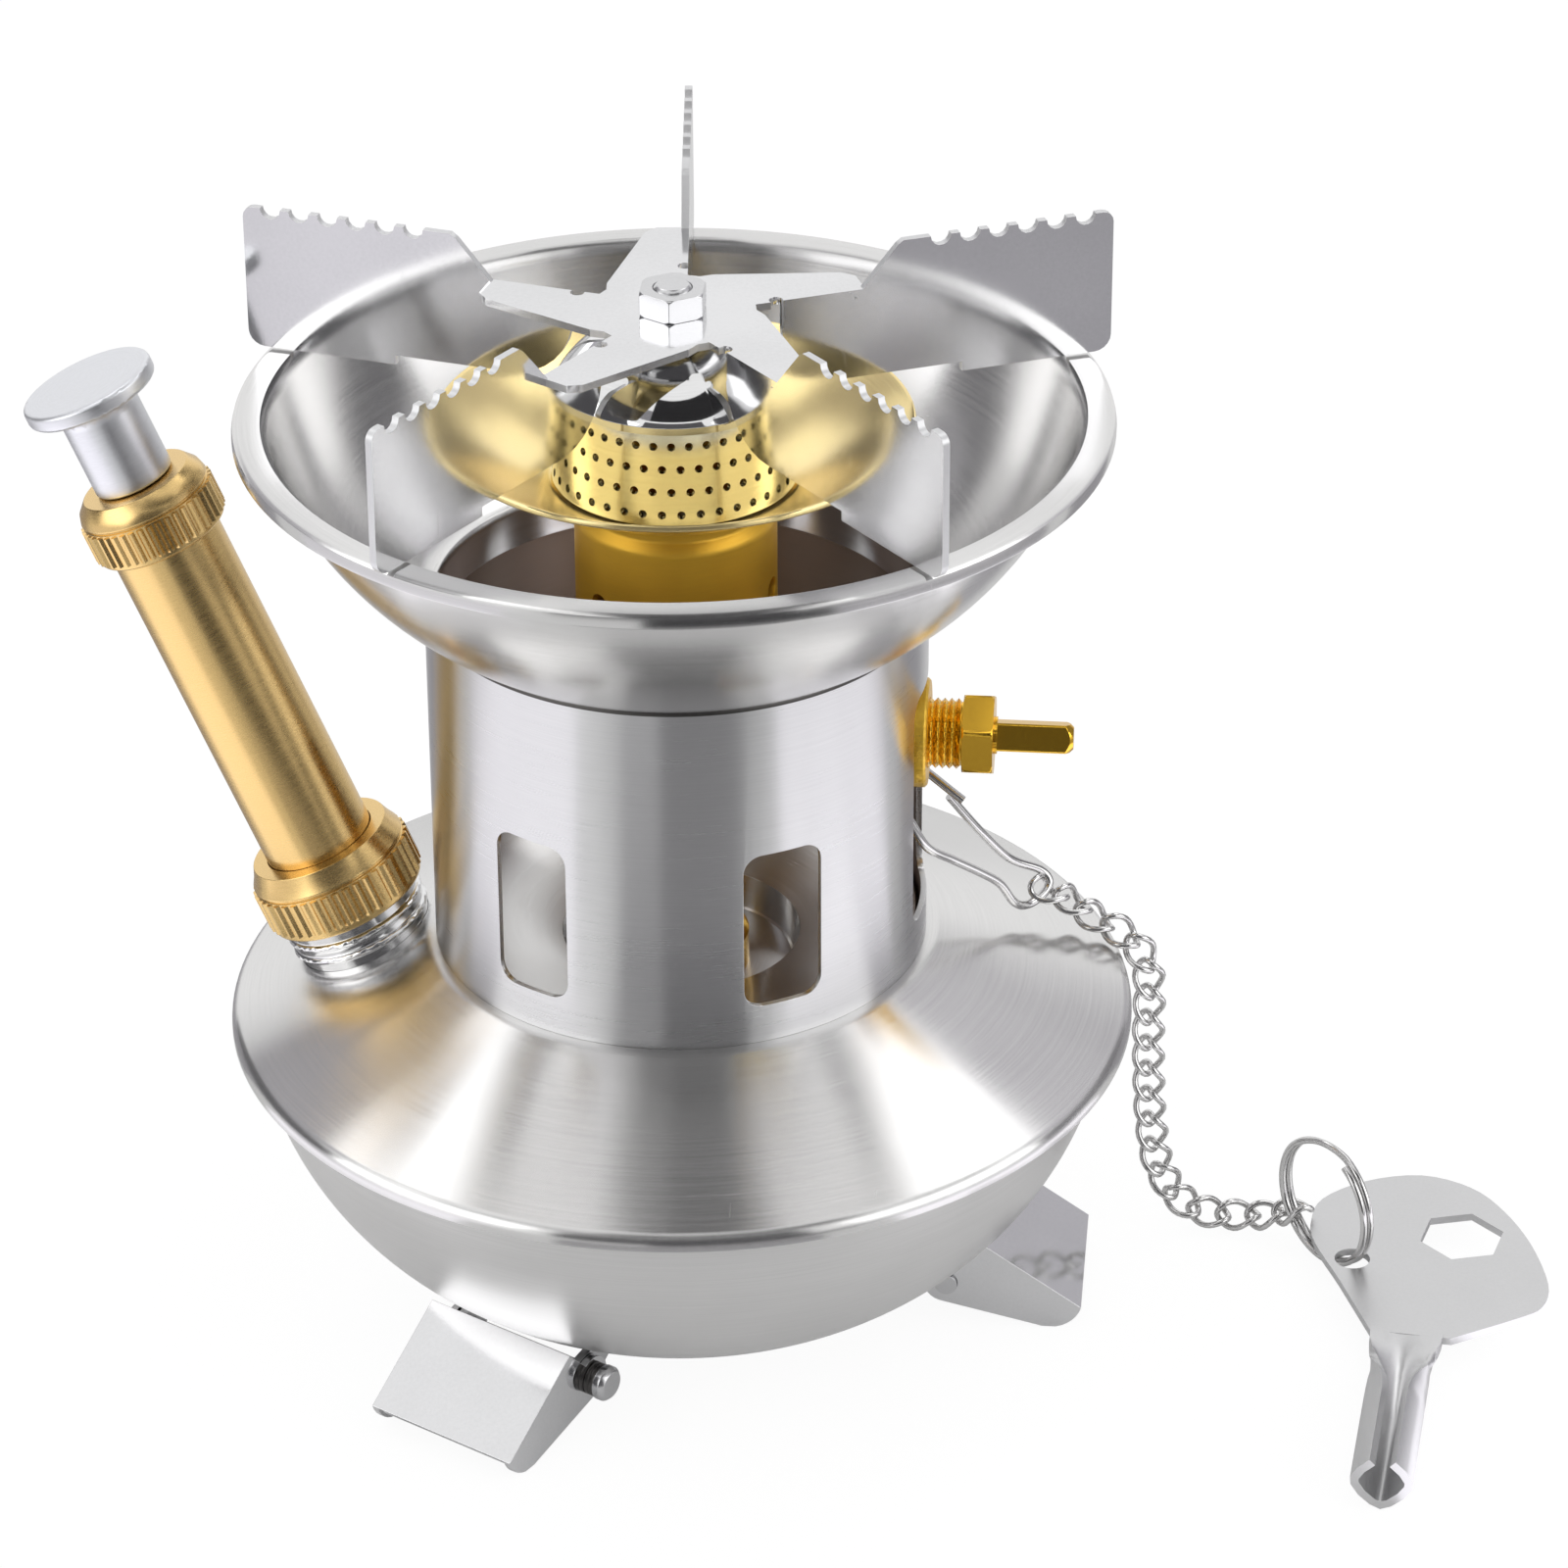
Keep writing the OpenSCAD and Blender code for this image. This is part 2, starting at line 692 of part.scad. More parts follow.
module needle_rack() {
  half = 0.27;
  back = 3.7;
  root = gear_r + 0.55;
  tip = gear_r - 0.38;
  flank = tan(20);
  first = -4;
  last = 1;
  teeth = [for (i = [first:last])
    let (z = i * gear_pitch)
    each [
      [root, z - half - (root - gear_r) * flank], [tip, z - half + (gear_r - tip) * flank],
      [tip, z + half - (gear_r - tip) * flank], [root, z + half + (root - gear_r) * flank]
    ]];
  top = 5.4;
  color(brass)
    translate([0, 0, valve_z]) {
      rotate([90, 0, 90])
        linear_extrude(2.4, center = true)
          polygon(concat(
            [[back, -7.4], [root, -7.4]],
            teeth,
            [[root, top - 1.2], [-0.7, top - 1.2], [-0.7, top], [back, top]]
          ));
      round_hole(0.25, top - 0.5, riser_top + 1.2 - valve_z);
    }
}

module jet_nozzle() {
  z = riser_top;
  color(brass)
    difference() {
      union() {
        round_hole(jet_stem, chamber_z[1] + 0.1, z + 1);
        translate([0, 0, z])
          cylinder(h = 2.2, r = 3.6, $fn = 6);
        translate([0, 0, z + 2.2])
          spun([[0, -0.2], [2.6, -0.2], [2.6, 0], [1, 1.8], [0, 1.8]]);
      }
      round_hole(1.1, chamber_z[1] - 1, z + 2.4);
      round_hole(0.35, z, z + 5);
    }
}

// Burner
saucer_z = cup_shoulder + throat_h;
dome_z = saucer_z + cone_h;
star_z = dome_z + dome_h;
module mixing_cup() {
  hub = riser_top_r + 0.05 + cup_t / 2;
  wall = cup_r - cup_t / 2;
  throat = cup_throat;
  brim = saucer_z - cup_t / 2;
  mid = [
    [hub, cup_floor - 4.4], [hub, cup_floor], [wall - 1, cup_floor], [wall, cup_floor + 1],
    [wall, cup_shoulder - 1], [throat, cup_shoulder + 0.8], [throat, brim], [throat + 3.2, brim]
  ];
  color(brass)
    difference() {
      spun(sheet(mid, cup_t));
      for (i = [0:air_holes - 1])
        rotate(360 / air_holes * (i + 0.5) + 17)
          translate([cup_r - 4, 0, cup_floor + 9.3])
            rotate([0, 90, 0])
              cylinder(h = 8, r = air_hole_d / 2);
    }
}

module flame_saucer() {
  z = saucer_z + brass_t / 2;
  color(brass)
    spun(sheet(
      [
        [cup_throat + 0.3, z], [cone_foot_r + 0.6, z], [saucer_r - 0.8, z + saucer_rise - 0.3],
        [saucer_r, z + saucer_rise]
      ],
      brass_t
    ));
}

cone_z0 = saucer_z + brass_t + brass_t / 2 + 0.02;
cone_z1 = dome_z + 0.7;
module perforated_cone() {
  rows = 4;
  lean = (cone_foot_r - cone_top_r) / (cone_z1 - cone_z0);
  color(brass)
    difference() {
      spun(sheet([[cone_foot_r - 2.6, cone_z0], [cone_foot_r, cone_z0], [cone_top_r, cone_z1]], brass_t));
      for (row = [0:rows - 1])
        let (z = cone_z0 + 1.4 + row * 2.95)
          for (i = [0:flame_holes - 1])
            rotate(360 / flame_holes * (i + (row % 2) / 2))
              translate([cone_foot_r - lean * (z - cone_z0) - 1.4, 0, z])
                rotate([0, 90, 0])
                  cylinder(h = 2.8, r = flame_hole_d / 2, $fn = 24);
    }
}

dome_mid_r = dome_r - brass_t / 2;
dome_top = star_z - brass_t / 2;
dome_edge = dome_z + 1;
dome_rise = dome_top - dome_edge;
dome_curve = (dome_mid_r * dome_mid_r + dome_rise * dome_rise) / (2 * dome_rise);
dome_c = [0, dome_top - dome_curve];
dome_end = angle_of([dome_mid_r, dome_edge] - dome_c);
module dome_cap() {
  color(nickel)
    difference() {
      spun(sheet(concat([[dome_mid_r, dome_z]], arc(dome_c, dome_curve, dome_end, 87, 12)), brass_t));
      round_hole(stud_d / 2 + 0.02, star_z - 6, star_z + 6);
    }
}

module centre_stud() {
  head_r = stud_d / 2 + 2;
  head_top = dome_c[1] + sqrt(pow(dome_curve - brass_t / 2, 2) - head_r * head_r) - 0.03;
  stud_top = star_z + support_t + nut_h + 0.4;
  color(steel)
    spun([
      [0, head_top - 1.4], [head_r, head_top - 1.4], [head_r, head_top], [stud_d / 2, head_top],
      [stud_d / 2, stud_top - 0.5], [stud_d / 2 - 0.5, stud_top], [0, stud_top]
    ]);
}

module stud_nut() {
  color(steel)
    translate([0, 0, star_z + support_t + 0.01])
      rotate(30)
        hex(nut_af, nut_h, stud_d / 2 + 0.02);
}

// Pot support, drawn from the star plate's top face
blade_down = star_z + support_t - bowl_top - 0.35;
blade_low = saucer_z + saucer_rise + brass_t + 2.65 - star_z - support_t;
blade_in = 13.8;
scallop_pitch = (blade_reach - arm_reach - 13.8) / (scallops - 1);
blade_side = concat(
  [
    [blade_in, -0.01], [arm_reach - 2.2, -0.01], [arm_reach - 1.4, -1.2], [arm_reach + 4.2, blade_up - 0.6],
    [arm_reach + 5, blade_up]
  ],
  [for (i = [0:scallops - 1])
    each arc([arm_reach + 10 + i * scallop_pitch, blade_up], scallop_pitch * scallop_share / 2, 180, 360, 7)],
  arc([blade_reach - 1.4, blade_up - 1.4], 1.4, 90, 0, 4),
  arc([blade_reach - 2.2, 2.2 - blade_down], 2.2, 0, -90, 5),
  [[38, -blade_down], [38, blade_low]],
  arc([blade_in + 8.6, blade_low + 8.6], 8.6, -90, -180, 8)
);
module pot_support() {
  color(steel)
    translate([0, 0, star_z])
      difference() {
        union() {
          cylinder(h = support_t, r = hub_r);
          for (i = [0:4])
            rotate(star_turn + 72 * i) {
              linear_extrude(support_t)
                polygon([
                  [0, -fold_offset], [arm_reach, -fold_offset], [arm_reach, arm_tip - 1.5],
                  [arm_reach - 1.5, arm_tip], [8, arm_root], [0, arm_root]
                ]);
              translate([0, support_t / 2 - fold_offset, support_t])
                rotate([90, 0, 0])
                  linear_extrude(support_t, center = true)
                    polygon(blade_side);
            }
        }
        round_hole(stud_d / 2 + 0.05, -3, 5);
        for (i = [0:4])
          rotate(star_turn + 72 * i)
            translate([blade_in - 0.6, 0.4 - fold_offset, -3])
              cylinder(h = 8, r = 0.9);
      }
}

// Pump, drawn along its own axis from the tank's surface
seat_s = filler_h + 1.2;
shoulder_s = seat_s + 1.15;
nut_top_s = shoulder_s + 2.6;
cap_s = barrel_up - 2.5;
cap_top_s = cap_s + pump_cap_h;
module filler_neck() {
  color(nickel)
    at_pump()
      difference() {
        spun(concat(
          [[0, -4], [filler_r, -4]],
          arc([filler_r, 1.9], 0.5, -90, 90, 6),
          arc([filler_r, 3.9], 0.5, -90, 90, 6),
          [[filler_r, filler_h], [0, filler_h]]
        ));
        round_hole(barrel_r + 0.4, -5, filler_h + 1);
      }
}

module filler_gasket() {
  color(black)
    at_pump()
      difference() {
        round_hole(filler_r - 0.2, filler_h + 0.01, seat_s - 0.01);
        round_hole(barrel_r + 0.2, filler_h - 1, seat_s + 1);
      }
}

module knurl(r, h) {
  linear_extrude(h)
    polygon(star(knurls, r, knurl_depth));
}

module pump_nut() {
  s = filler_h - 4.4;
  r = pump_nut_r - knurl_depth;
  color(brass)
    at_pump()
      difference() {
        union() {
          spun([
            [0, s], [r - 0.3, s], [r, s + 0.3], [r, shoulder_s], [r - 0.6, shoulder_s + 1.1],
            [r - 1.2, nut_top_s], [0, nut_top_s]
          ]);
          translate([0, 0, s + 1])
            knurl(pump_nut_r, shoulder_s - s - 1.8);
        }
        round_hole(filler_r + 0.1, s - 1, shoulder_s);
        round_hole(barrel_r + 0.1, s - 1, nut_top_s + 1);
      }
}

module pump_barrel() {
  color(brass)
    at_pump()
      spun([
        [barrel_r - barrel_wall, -barrel_down], [barrel_r, -barrel_down], [barrel_r, seat_s],
        [filler_r - 0.2, seat_s], [filler_r - 0.2, shoulder_s - 0.05], [barrel_r, shoulder_s - 0.05],
        [barrel_r, barrel_up], [barrel_r - barrel_wall, barrel_up]
      ]);
}

module pump_cap() {
  r = pump_cap_r - knurl_depth;
  color(brass)
    at_pump()
      difference() {
        union() {
          spun([
            [0, cap_s], [r - 0.3, cap_s], [r, cap_s + 0.3], [r, cap_top_s - 2.4], [r - 0.3, cap_top_s - 1.4],
            [r - 1.5, cap_top_s], [0, cap_top_s]
          ]);
          translate([0, 0, cap_s + 0.8])
            knurl(pump_cap_r, 4.4);
        }
        round_hole(barrel_r + 0.02, cap_s - 1, barrel_up + 0.02);
        round_hole(rod_r + plunger_fit, cap_s, cap_top_s + 1);
      }
}

piston_s = -8;
module plunger_knob() {
  s = cap_top_s + 0.1;
  top = s + knob_h;
  disc = top - 2.3;
  color(aluminium)
    at_pump()
      difference() {
        spun(concat(
          [[0, s], [knob_neck_r - 0.3, s], [knob_neck_r, s + 0.3]],
          arc([knob_neck_r + 2.2, disc - 2.2], 2.2, 180, 90, 5),
          arc([knob_disc_r - 0.6, disc + 0.6], 0.6, -90, 0, 3),
          arc([knob_disc_r - 0.6, top - 0.6], 0.6, 0, 90, 3),
          [[0, top]]
        ));
        round_hole(rod_r + 0.02, s - 1, s + 8);
      }
}

module plunger_rod() {
  color(steel)
    at_pump()
      round_hole(rod_r, piston_s - 8.5, cap_top_s + 8);
}

module piston_cup() {
  r = barrel_r - barrel_wall - plunger_fit;
  color(hide)
    at_pump()
      spun([
        [rod_r + 0.03, piston_s - 2.6], [rod_r + 0.03, piston_s - 1], [r - 0.6, piston_s - 1],
        [r, piston_s - 1.6], [r, piston_s - 7.5], [r - 0.9, piston_s - 7.5], [r - 1.4, piston_s - 2.6]
      ]);
}

module piston_hardware() {
  color(steel)
    at_pump() {
      difference() {
        round_hole(5.4, piston_s - 0.98, piston_s);
        round_hole(rod_r + 0.02, piston_s - 2, piston_s + 1);
      }
      difference() {
        round_hole(4, piston_s - 3.7, piston_s - 2.62);
        round_hole(rod_r + 0.02, piston_s - 5, piston_s);
      }
      translate([0, 0, piston_s - 6.4])
        hex(7, 2.68, rod_r + 0.02);
    }
}

valve_s = -barrel_down;
chamber_top = valve_s + 6.5;
pad_t = 1.9;
spring_r = 2.1;
spring_s = [valve_s - 2.5 + spring_wire / 2, chamber_top - pad_t - 0.15 - spring_wire / 2];
module check_valve_body() {
  inner = barrel_r - barrel_wall - 0.02;
  color(brass)
    at_pump()
      difference() {
        spun([
          [0, valve_s - 4.5], [4.5, valve_s - 4.5], [4.5, valve_s - 1.5], [barrel_r, valve_s - 1.5],
          [barrel_r, valve_s - 0.02], [inner, valve_s - 0.02], [inner, chamber_top + 1.5],
          [0, chamber_top + 1.5]
        ]);
        round_hole(3, valve_s - 2.5, chamber_top);
        round_hole(0.8, chamber_top - 1, chamber_top + 3);
        round_hole(1, valve_s - 6, valve_s - 2);
      }
}

module check_valve_pad() {
  color(black)
    at_pump()
      round_hole(2.75, chamber_top - 0.1 - pad_t, chamber_top - 0.1);
}

spring_rise = (spring_s[1] - spring_s[0]) / spring_turns;
spring_path = [for (i = [0:8 * spring_turns])
  [spring_r * cos(45 * i), spring_r * sin(45 * i), spring_s[0] + spring_rise * i / 8]];
spring_gap = spring_rise - spring_wire;
module check_valve_spring() {
  echo(spring_gap = spring_gap);
  color(steel)
    at_pump()
      tube(spring_path, [1, 0, 0], spring_wire / 2, 6);
}

// Clip, chain and key
clip_route = [
  [36.9, 6, 71.2], [33.6, 6.7, 73.6], [30.8, 7.3, 75.8], [28.4, 7.3, 79.4], [27, 6.8, 84.6], [27, 4.8, 89.4],
  [27, 0, 91.4], [27, -4.8, 89.4], [27, -6.8, 84.6], [28.4, -7.3, 79.4], [30.8, -7.3, 75.4], [33, -6.4, 71.1],
  [35.8, -2, 66.9], [39.4, 3, 62.1], [41.9, 6.5, 58.4], [43.7, 9, 54.2], [45.3, 11.6, 52.3], [47.3, 14, 52.6],
  [48.1, 15.4, 53.8], [46.8, 15.6, 55.5], [42.8, 13, 58.6], [39, 10.2, 64.2], [34.9, 8.7, 70.2]
];
module wire_clip() {
  color(nickel)
    tube(smoothed(clip_route, 3), [0, 1, 0], clip_wire / 2, 6);
}

chain_route = smoothed([
  [46.4, 13.8, 53.8], [50.6, 15.6, 51.2], [54.2, 16.4, 48], [57.6, 15.9, 46.3], [60.6, 15.3, 43.6],
  [61.9, 15, 39.4], [62, 15, 32], [62.2, 15, 25], [62.6, 15, 18], [63.6, 15, 11], [65.6, 15, 6.2],
  [68.6, 15, 3], [72.4, 14.7, 2.2], [76.2, 14.6, 2.2], [79.4, 13.9, 2.9], [84.2, 12, 5.4]
], 6);
chain_runs = run_lengths(chain_route);
chain_length = chain_runs[len(chain_runs) - 1];
link_pitch = 2 * link_l - link_wire - 0.85;
links = round(chain_length / link_pitch);
link_rings = 16;
link_sides = 6;
link_mid = [for (i = [0:link_rings - 1])
  let (a = 360 * i / link_rings, turn = link_twist * sin(a))
  [link_w * cos(a) * cos(turn), link_l * sin(a), link_w * cos(a) * sin(turn)]];
link_way = [for (i = [0:link_rings - 1])
  unit(link_mid[(i + 1) % link_rings] - link_mid[(i + link_rings - 1) % link_rings])];
link_side = [for (i = [0:link_rings - 1])
  unit(link_mid[i] - link_way[i] * (link_mid[i] * link_way[i]))];
link_points = rings(link_mid, link_way, link_side, link_wire / 2, link_sides);
link_at = [for (i = [0:links - 1]) along(chain_route, chain_runs, chain_length * (i + 0.5) / links)];
link_dir = tangents(link_at);
link_across = carried(link_dir, [0, 1, 0]);
link_turn = [60, 15];
module chain() {
  color(nickel)
    for (i = [0:links - 1])
      let (
        turn = link_turn[0] + (link_turn[1] - link_turn[0]) * i / (links - 1),
        y = link_dir[i],
        x = link_across[i] * cos(turn) + cross(link_across[i], y) * sin(turn),
        z = cross(x, y)
      )
        polyhedron(
          [for (p = link_points) link_at[i] + x * p[0] + y * p[1] + z * p[2]],
          skins(link_rings, link_sides, true)
        );
}

ring_c = [87, 7.4, 9.9];
ring_e1 = [0.637, -0.771, 0];
ring_e2 = [0, 0, 1];
ring_n = cross(ring_e1, ring_e2);
function ring_shift(a) = (ring_wire + 0.06) * (min(max((a - 330) / 60, 0), 1) - 0.5);
ring_path = [for (a = [38:9:682])
  let (q = a + 100)
  ring_c + ring_r * (cos(q) * ring_e1 + sin(q) * ring_e2) + ring_shift(a) * ring_n];
module split_ring() {
  color(nickel)
    tube(ring_path, ring_n, ring_wire / 2, 6);
}

key_mid = key_square / sqrt(2) + key_t / sqrt(2);
key_low = key_mid + key_t * 0.546;
key_plate = 3.2;
key_head = smoothed([
  [-4.8, 34.6], [-10, 45.6], [-14.4, 54.4], [-15.4, 59.6], [-14.4, 65.2], [-9, 70.6], [-1.5, 73.4],
  [5.5, 71.5], [10.5, 66.4], [14.8, 58.8], [17.8, 49.6], [17.4, 44], [14.2, 40.7], [6, 34.6]
], 4);
key_round = 1.4;
key_open = 119;
function curl(v) = sign(v) * pow(abs(v), key_round);
function key_section(k) =
  sheet([for (i = [0:12])
    let (
      a = key_open + (540 - 2 * key_open) * i / 12,
      flat = [-4.9 + 9.8 * i / 12, key_plate],
      rolled = [key_mid * curl(cos(a)), key_low + key_mid * curl(sin(a))]
    )
    flat * (1 - k) + rolled * k], key_t);
key_steps = [
  [36, 0], [33, 0.04], [30.5, 0.14], [28, 0.3], [25.5, 0.5], [23, 0.71], [20.5, 0.88], [18, 0.97], [16, 1],
  [8, 1], [0, 1]
];
module key_shank() {
  n = 26;
  m = len(key_steps);
  points = [for (s = key_steps) let (q = key_section(s[1])) each [for (p = q) [p[0], s[0], p[1]]]];
  sides = skins(m, n, false);
  caps = [for (i = [0:11])
    each [[i, n - 1 - i, n - 2 - i], [i, n - 2 - i, i + 1]]];
  ends = [for (f = caps) [for (v = f) v + (m - 1) * n]];
  polyhedron(
    points,
    concat([for (f = sides) [f[0], f[2], f[1]]], [for (f = caps) [f[0], f[2], f[1]]], ends)
  );
}

module valve_key() {
  color(nickel)
    translate([95, -49, 0])
      rotate(-5.3)
        union() {
          key_shank();
          translate([0, 0, key_plate - key_t / 2])
            difference() {
              linear_extrude(key_t)
                polygon(key_head);
              translate([5.3, 59.2, -1])
                rotate(21)
                  cylinder(h = 4, r = key_hex / sqrt(3), $fn = 6);
              translate([-8.9, 51.2, -1])
                cylinder(h = 4, r = key_hole_r);
            }
        }
}

tank_upper_shell();
tank_lower_shell();
filler_neck();
filler_gasket();
pump_nut();
pump_barrel();
pump_cap();
plunger_knob();
plunger_rod();
piston_cup();
piston_hardware();
check_valve_body();
check_valve_pad();
check_valve_spring();
neck_shield();
wind_bowl();
vaporizer_body();
wick();
pickup_tube();
gland_nut();
gland_packing();
valve_spindle();
needle_rack();
jet_nozzle();
mixing_cup();
flame_saucer();
perforated_cone();
dome_cap();
centre_stud();
stud_nut();
pot_support();
foot_right();
foot_rear();
foot_front();
hinge_brackets();
hinge_pins();
hinge_washers();
wire_clip();
chain();
split_ring();
valve_key();
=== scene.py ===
"""Looks, stage and camera of a pumped gasoline camping stove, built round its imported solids."""

import json
from math import atan2, cos, degrees, pi, radians, sin, sqrt, tan, tau

import bpy
from bpy.props import FloatProperty, FloatVectorProperty, PointerProperty
from bpy.types import NodeSocket, Operator, Panel, PropertyGroup
from mathutils import Matrix, Vector


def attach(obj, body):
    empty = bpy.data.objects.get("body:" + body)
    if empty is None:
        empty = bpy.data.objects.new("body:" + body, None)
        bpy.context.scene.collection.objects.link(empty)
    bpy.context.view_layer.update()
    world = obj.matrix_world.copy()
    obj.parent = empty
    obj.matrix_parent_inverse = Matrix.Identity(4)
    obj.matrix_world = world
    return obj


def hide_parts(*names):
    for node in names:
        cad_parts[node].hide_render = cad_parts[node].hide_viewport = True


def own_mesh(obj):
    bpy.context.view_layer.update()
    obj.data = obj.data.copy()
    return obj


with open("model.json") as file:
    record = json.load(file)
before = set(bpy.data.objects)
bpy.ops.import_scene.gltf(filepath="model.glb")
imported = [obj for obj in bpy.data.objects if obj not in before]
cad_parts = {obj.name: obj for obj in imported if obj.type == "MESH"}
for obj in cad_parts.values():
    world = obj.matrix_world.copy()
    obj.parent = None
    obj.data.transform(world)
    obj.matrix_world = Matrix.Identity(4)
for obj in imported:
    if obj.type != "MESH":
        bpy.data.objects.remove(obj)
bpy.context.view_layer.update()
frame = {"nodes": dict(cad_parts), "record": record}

bl_info = {
    "name": "Camping stove looks",
    "version": (1, 0, 0),
    "blender": (4, 5, 0),
    "location": "3D View > Sidebar > Stove",
    "description": "Models the visible pieces of a pumped camping stove, with their finishes and a stage",
    "category": "Object",
}

MM = 0.001
RECORD = frame["record"]
BODY_OF = {node: body for body, nodes in RECORD["behaviour"]["bodies"].items() for node in nodes}


def length(name, about, millimetres):
    """A length property whose default is given in millimetres."""
    return FloatProperty(
        name=name, description=about, default=millimetres * MM, min=0.0, precision=4, unit="LENGTH", subtype="DISTANCE"
    )


def turn(name, about, angle):
    """An angle property whose default is given in degrees."""
    return FloatProperty(name=name, description=about, default=radians(angle), unit="ROTATION", subtype="ANGLE")


def tint(name, about, colour):
    """A colour property."""
    return FloatVectorProperty(name=name, description=about, default=colour, size=3, min=0.0, max=1.0, subtype="COLOR")


class StoveShellSizes(PropertyGroup):
    """Sizes of the tank, the neck and the wind bowl"""

    rim_radius: length("Tank radius", "Radius of the tank at its rim", 60.0)
    rim_height: length("Rim height", "Height of the rim's lower edge above the floor", 42.0)
    underside: length("Underside", "Height of the tank's flat underside above the floor", 9.7)
    tank_sheet: length("Tank sheet", "Sheet thickness of both tank shells", 1.0)
    tank_slope: turn("Tank slope", "Slope of the upper shell", 22.5)
    neck_radius: length("Neck radius", "Outer radius of the neck shield", 32.5)
    neck_sheet: length("Neck sheet", "Sheet thickness of the neck shield", 0.8)
    neck_top: length("Neck top", "Height of the neck's top edge above the floor", 104.2)
    window_width: length("Window width", "Width of a neck window", 10.8)
    window_height: length("Window height", "Height of a neck window", 22.2)
    window_corner: length("Window corner", "Corner radius of the neck windows", 2.5)
    sill: length("Window sill", "Height of the window sills above the floor", 60.1)
    slot_width: length("Slot width", "Width of the slot round the valve", 17.0)
    slot_height: length("Slot height", "Height of the slot round the valve", 33.0)
    bowl_radius: length("Bowl radius", "Radius of the bowl's wall at its top", 52.0)
    bowl_top: length("Bowl top", "Height of the bowl's lip above the floor", 130.0)
    bowl_lip: length("Bowl lip", "Width of the bowl's flat lip", 4.0)
    bowl_sheet: length("Bowl sheet", "Sheet thickness of the bowl", 0.8)


class StoveBurnerSizes(PropertyGroup):
    """Sizes of the burner and the pump"""

    cup_radius: length("Cup radius", "Outer radius of the mixing cup", 13.0)
    saucer_radius: length("Saucer radius", "Radius of the flame saucer's edge", 30.7)
    dome_radius: length("Dome radius", "Radius of the dome cap", 15.0)
    barrel_radius: length("Barrel radius", "Outer radius of the pump barrel", 7.4)
    filler_radius: length("Filler radius", "Outer radius of the plated filler neck", 9.2)
    pump_distance: length("Pump distance", "Distance of the pump's foot from the tank axis", 42.3)
    valve_height: length("Valve height", "Height of the valve's axis above the floor", 84.6)
    pad_travel: length("Pad travel", "How far the check valve's pad lifts", 0.8)
    flange_start: length("Flange start", "Distance of the valve flange from the tank axis", 30.4)


class StoveTetherSizes(PropertyGroup):
    """Sizes of the clip, the chain and the ring"""

    link_wire: length("Link wire", "Wire of the chain links", 0.85)
    link_half_length: length("Link half length", "Half length of a link's middle line", 2.9)
    link_half_width: length("Link half width", "Half width of a link's middle line", 1.9)
    link_twist: turn("Link twist", "Twist of a link from its middle to its end", 60.0)
    clip_wire: length("Clip wire", "Wire of the spring clip", 1.2)
    ring_radius: length("Ring radius", "Radius of the split ring", 8.8)
    ring_wire: length("Ring wire", "Wire of the split ring", 1.0)


class StoveColours(PropertyGroup):
    """Colours of the stove's metals and soft pieces"""

    spun_steel: tint("Spun steel", "Tank shells and wind bowl", (0.74, 0.735, 0.73))
    brushed_steel: tint("Brushed steel", "Neck shield", (0.72, 0.72, 0.725))
    heat_tint: tint("Heat tint", "Inside of the neck shield", (0.36, 0.29, 0.25))
    bright_sheet: tint("Bright sheet", "Pot support and feet", (0.76, 0.76, 0.77))
    zinc: tint("Zinc", "Stud, nut and pins", (0.66, 0.66, 0.67))
    # The hinge washers' own dark colour, also used as painted shade on the neck's top edge under the bowl
    dark_steel: tint("Dark steel", "Hinge washers and the seam under the bowl", (0.12, 0.115, 0.11))
    chrome: tint("Chrome", "Dome cap and filler neck", (0.8, 0.8, 0.8))
    nickel: tint("Nickel", "Clip, chain and ring", (0.68, 0.675, 0.67))
    key_steel: tint("Key steel", "Stamped key", (0.67, 0.67, 0.675))
    satin_brass: tint("Satin brass", "Pump", (0.84, 0.59, 0.25))
    valve_brass: tint("Valve brass", "Valve, its nut and spindle, and burner cup", (1.0, 0.58, 0.06))
    saucer_brass: tint("Saucer brass", "Flame saucer", (1.0, 0.79, 0.38))
    bright_brass: tint("Bright brass", "Flame cone", (1.0, 0.91, 0.64))
    aluminium: tint("Aluminium", "Pump knob", (0.83, 0.84, 0.87))
    rubber: tint("Rubber", "Gasket, packing and valve pad", (0.03, 0.03, 0.03))
    leather: tint("Leather", "Piston cup", (0.3, 0.16, 0.075))
    cotton: tint("Cotton", "Wick", (0.72, 0.69, 0.6))


class StoveStage(PropertyGroup):
    """Camera and stage"""

    lens: FloatProperty(name="Lens", description="Focal length on a 36 mm sensor", default=140.2, min=10.0)
    distance: length("Distance", "Distance of the camera from its target", 800.1)
    elevation: turn("Elevation", "Height angle of the camera", 29.64)
    plan: turn("Plan angle", "Direction of the camera seen from above", 275.2)
    roll: turn("Roll", "Turn of the camera about its view", -0.24)
    target: FloatVectorProperty(
        name="Target", description="Point that the camera looks at", default=(0.01365, 0.00124, 0.0753), size=3,
        unit="LENGTH", subtype="XYZ"
    )
    floor: tint("Floor", "Colour of the floor", (0.86, 0.86, 0.86))
    lamp_level: FloatProperty(name="Lamp level", description="Brightness of the lamps", default=1.25, min=0.0)
    card: tint("Cards", "Colour of the cards that the metal mirrors, before their shade", (0.97, 0.95, 1.0))


# Nodes of a finish


def put(tree, kind, links=None, **settings):
    """Adds a node, sets its options, and sets or links its inputs."""
    made = tree.nodes.new(kind)
    for key, value in settings.items():
        setattr(made, key, value)
    for key, value in (links or {}).items():
        if isinstance(value, NodeSocket):
            tree.links.new(value, made.inputs[key])
        else:
            made.inputs[key].default_value = value
    return made


def blank(owner):
    """The emptied node tree of a material or a world."""
    owner.use_nodes = True
    owner.node_tree.nodes.clear()
    return owner.node_tree


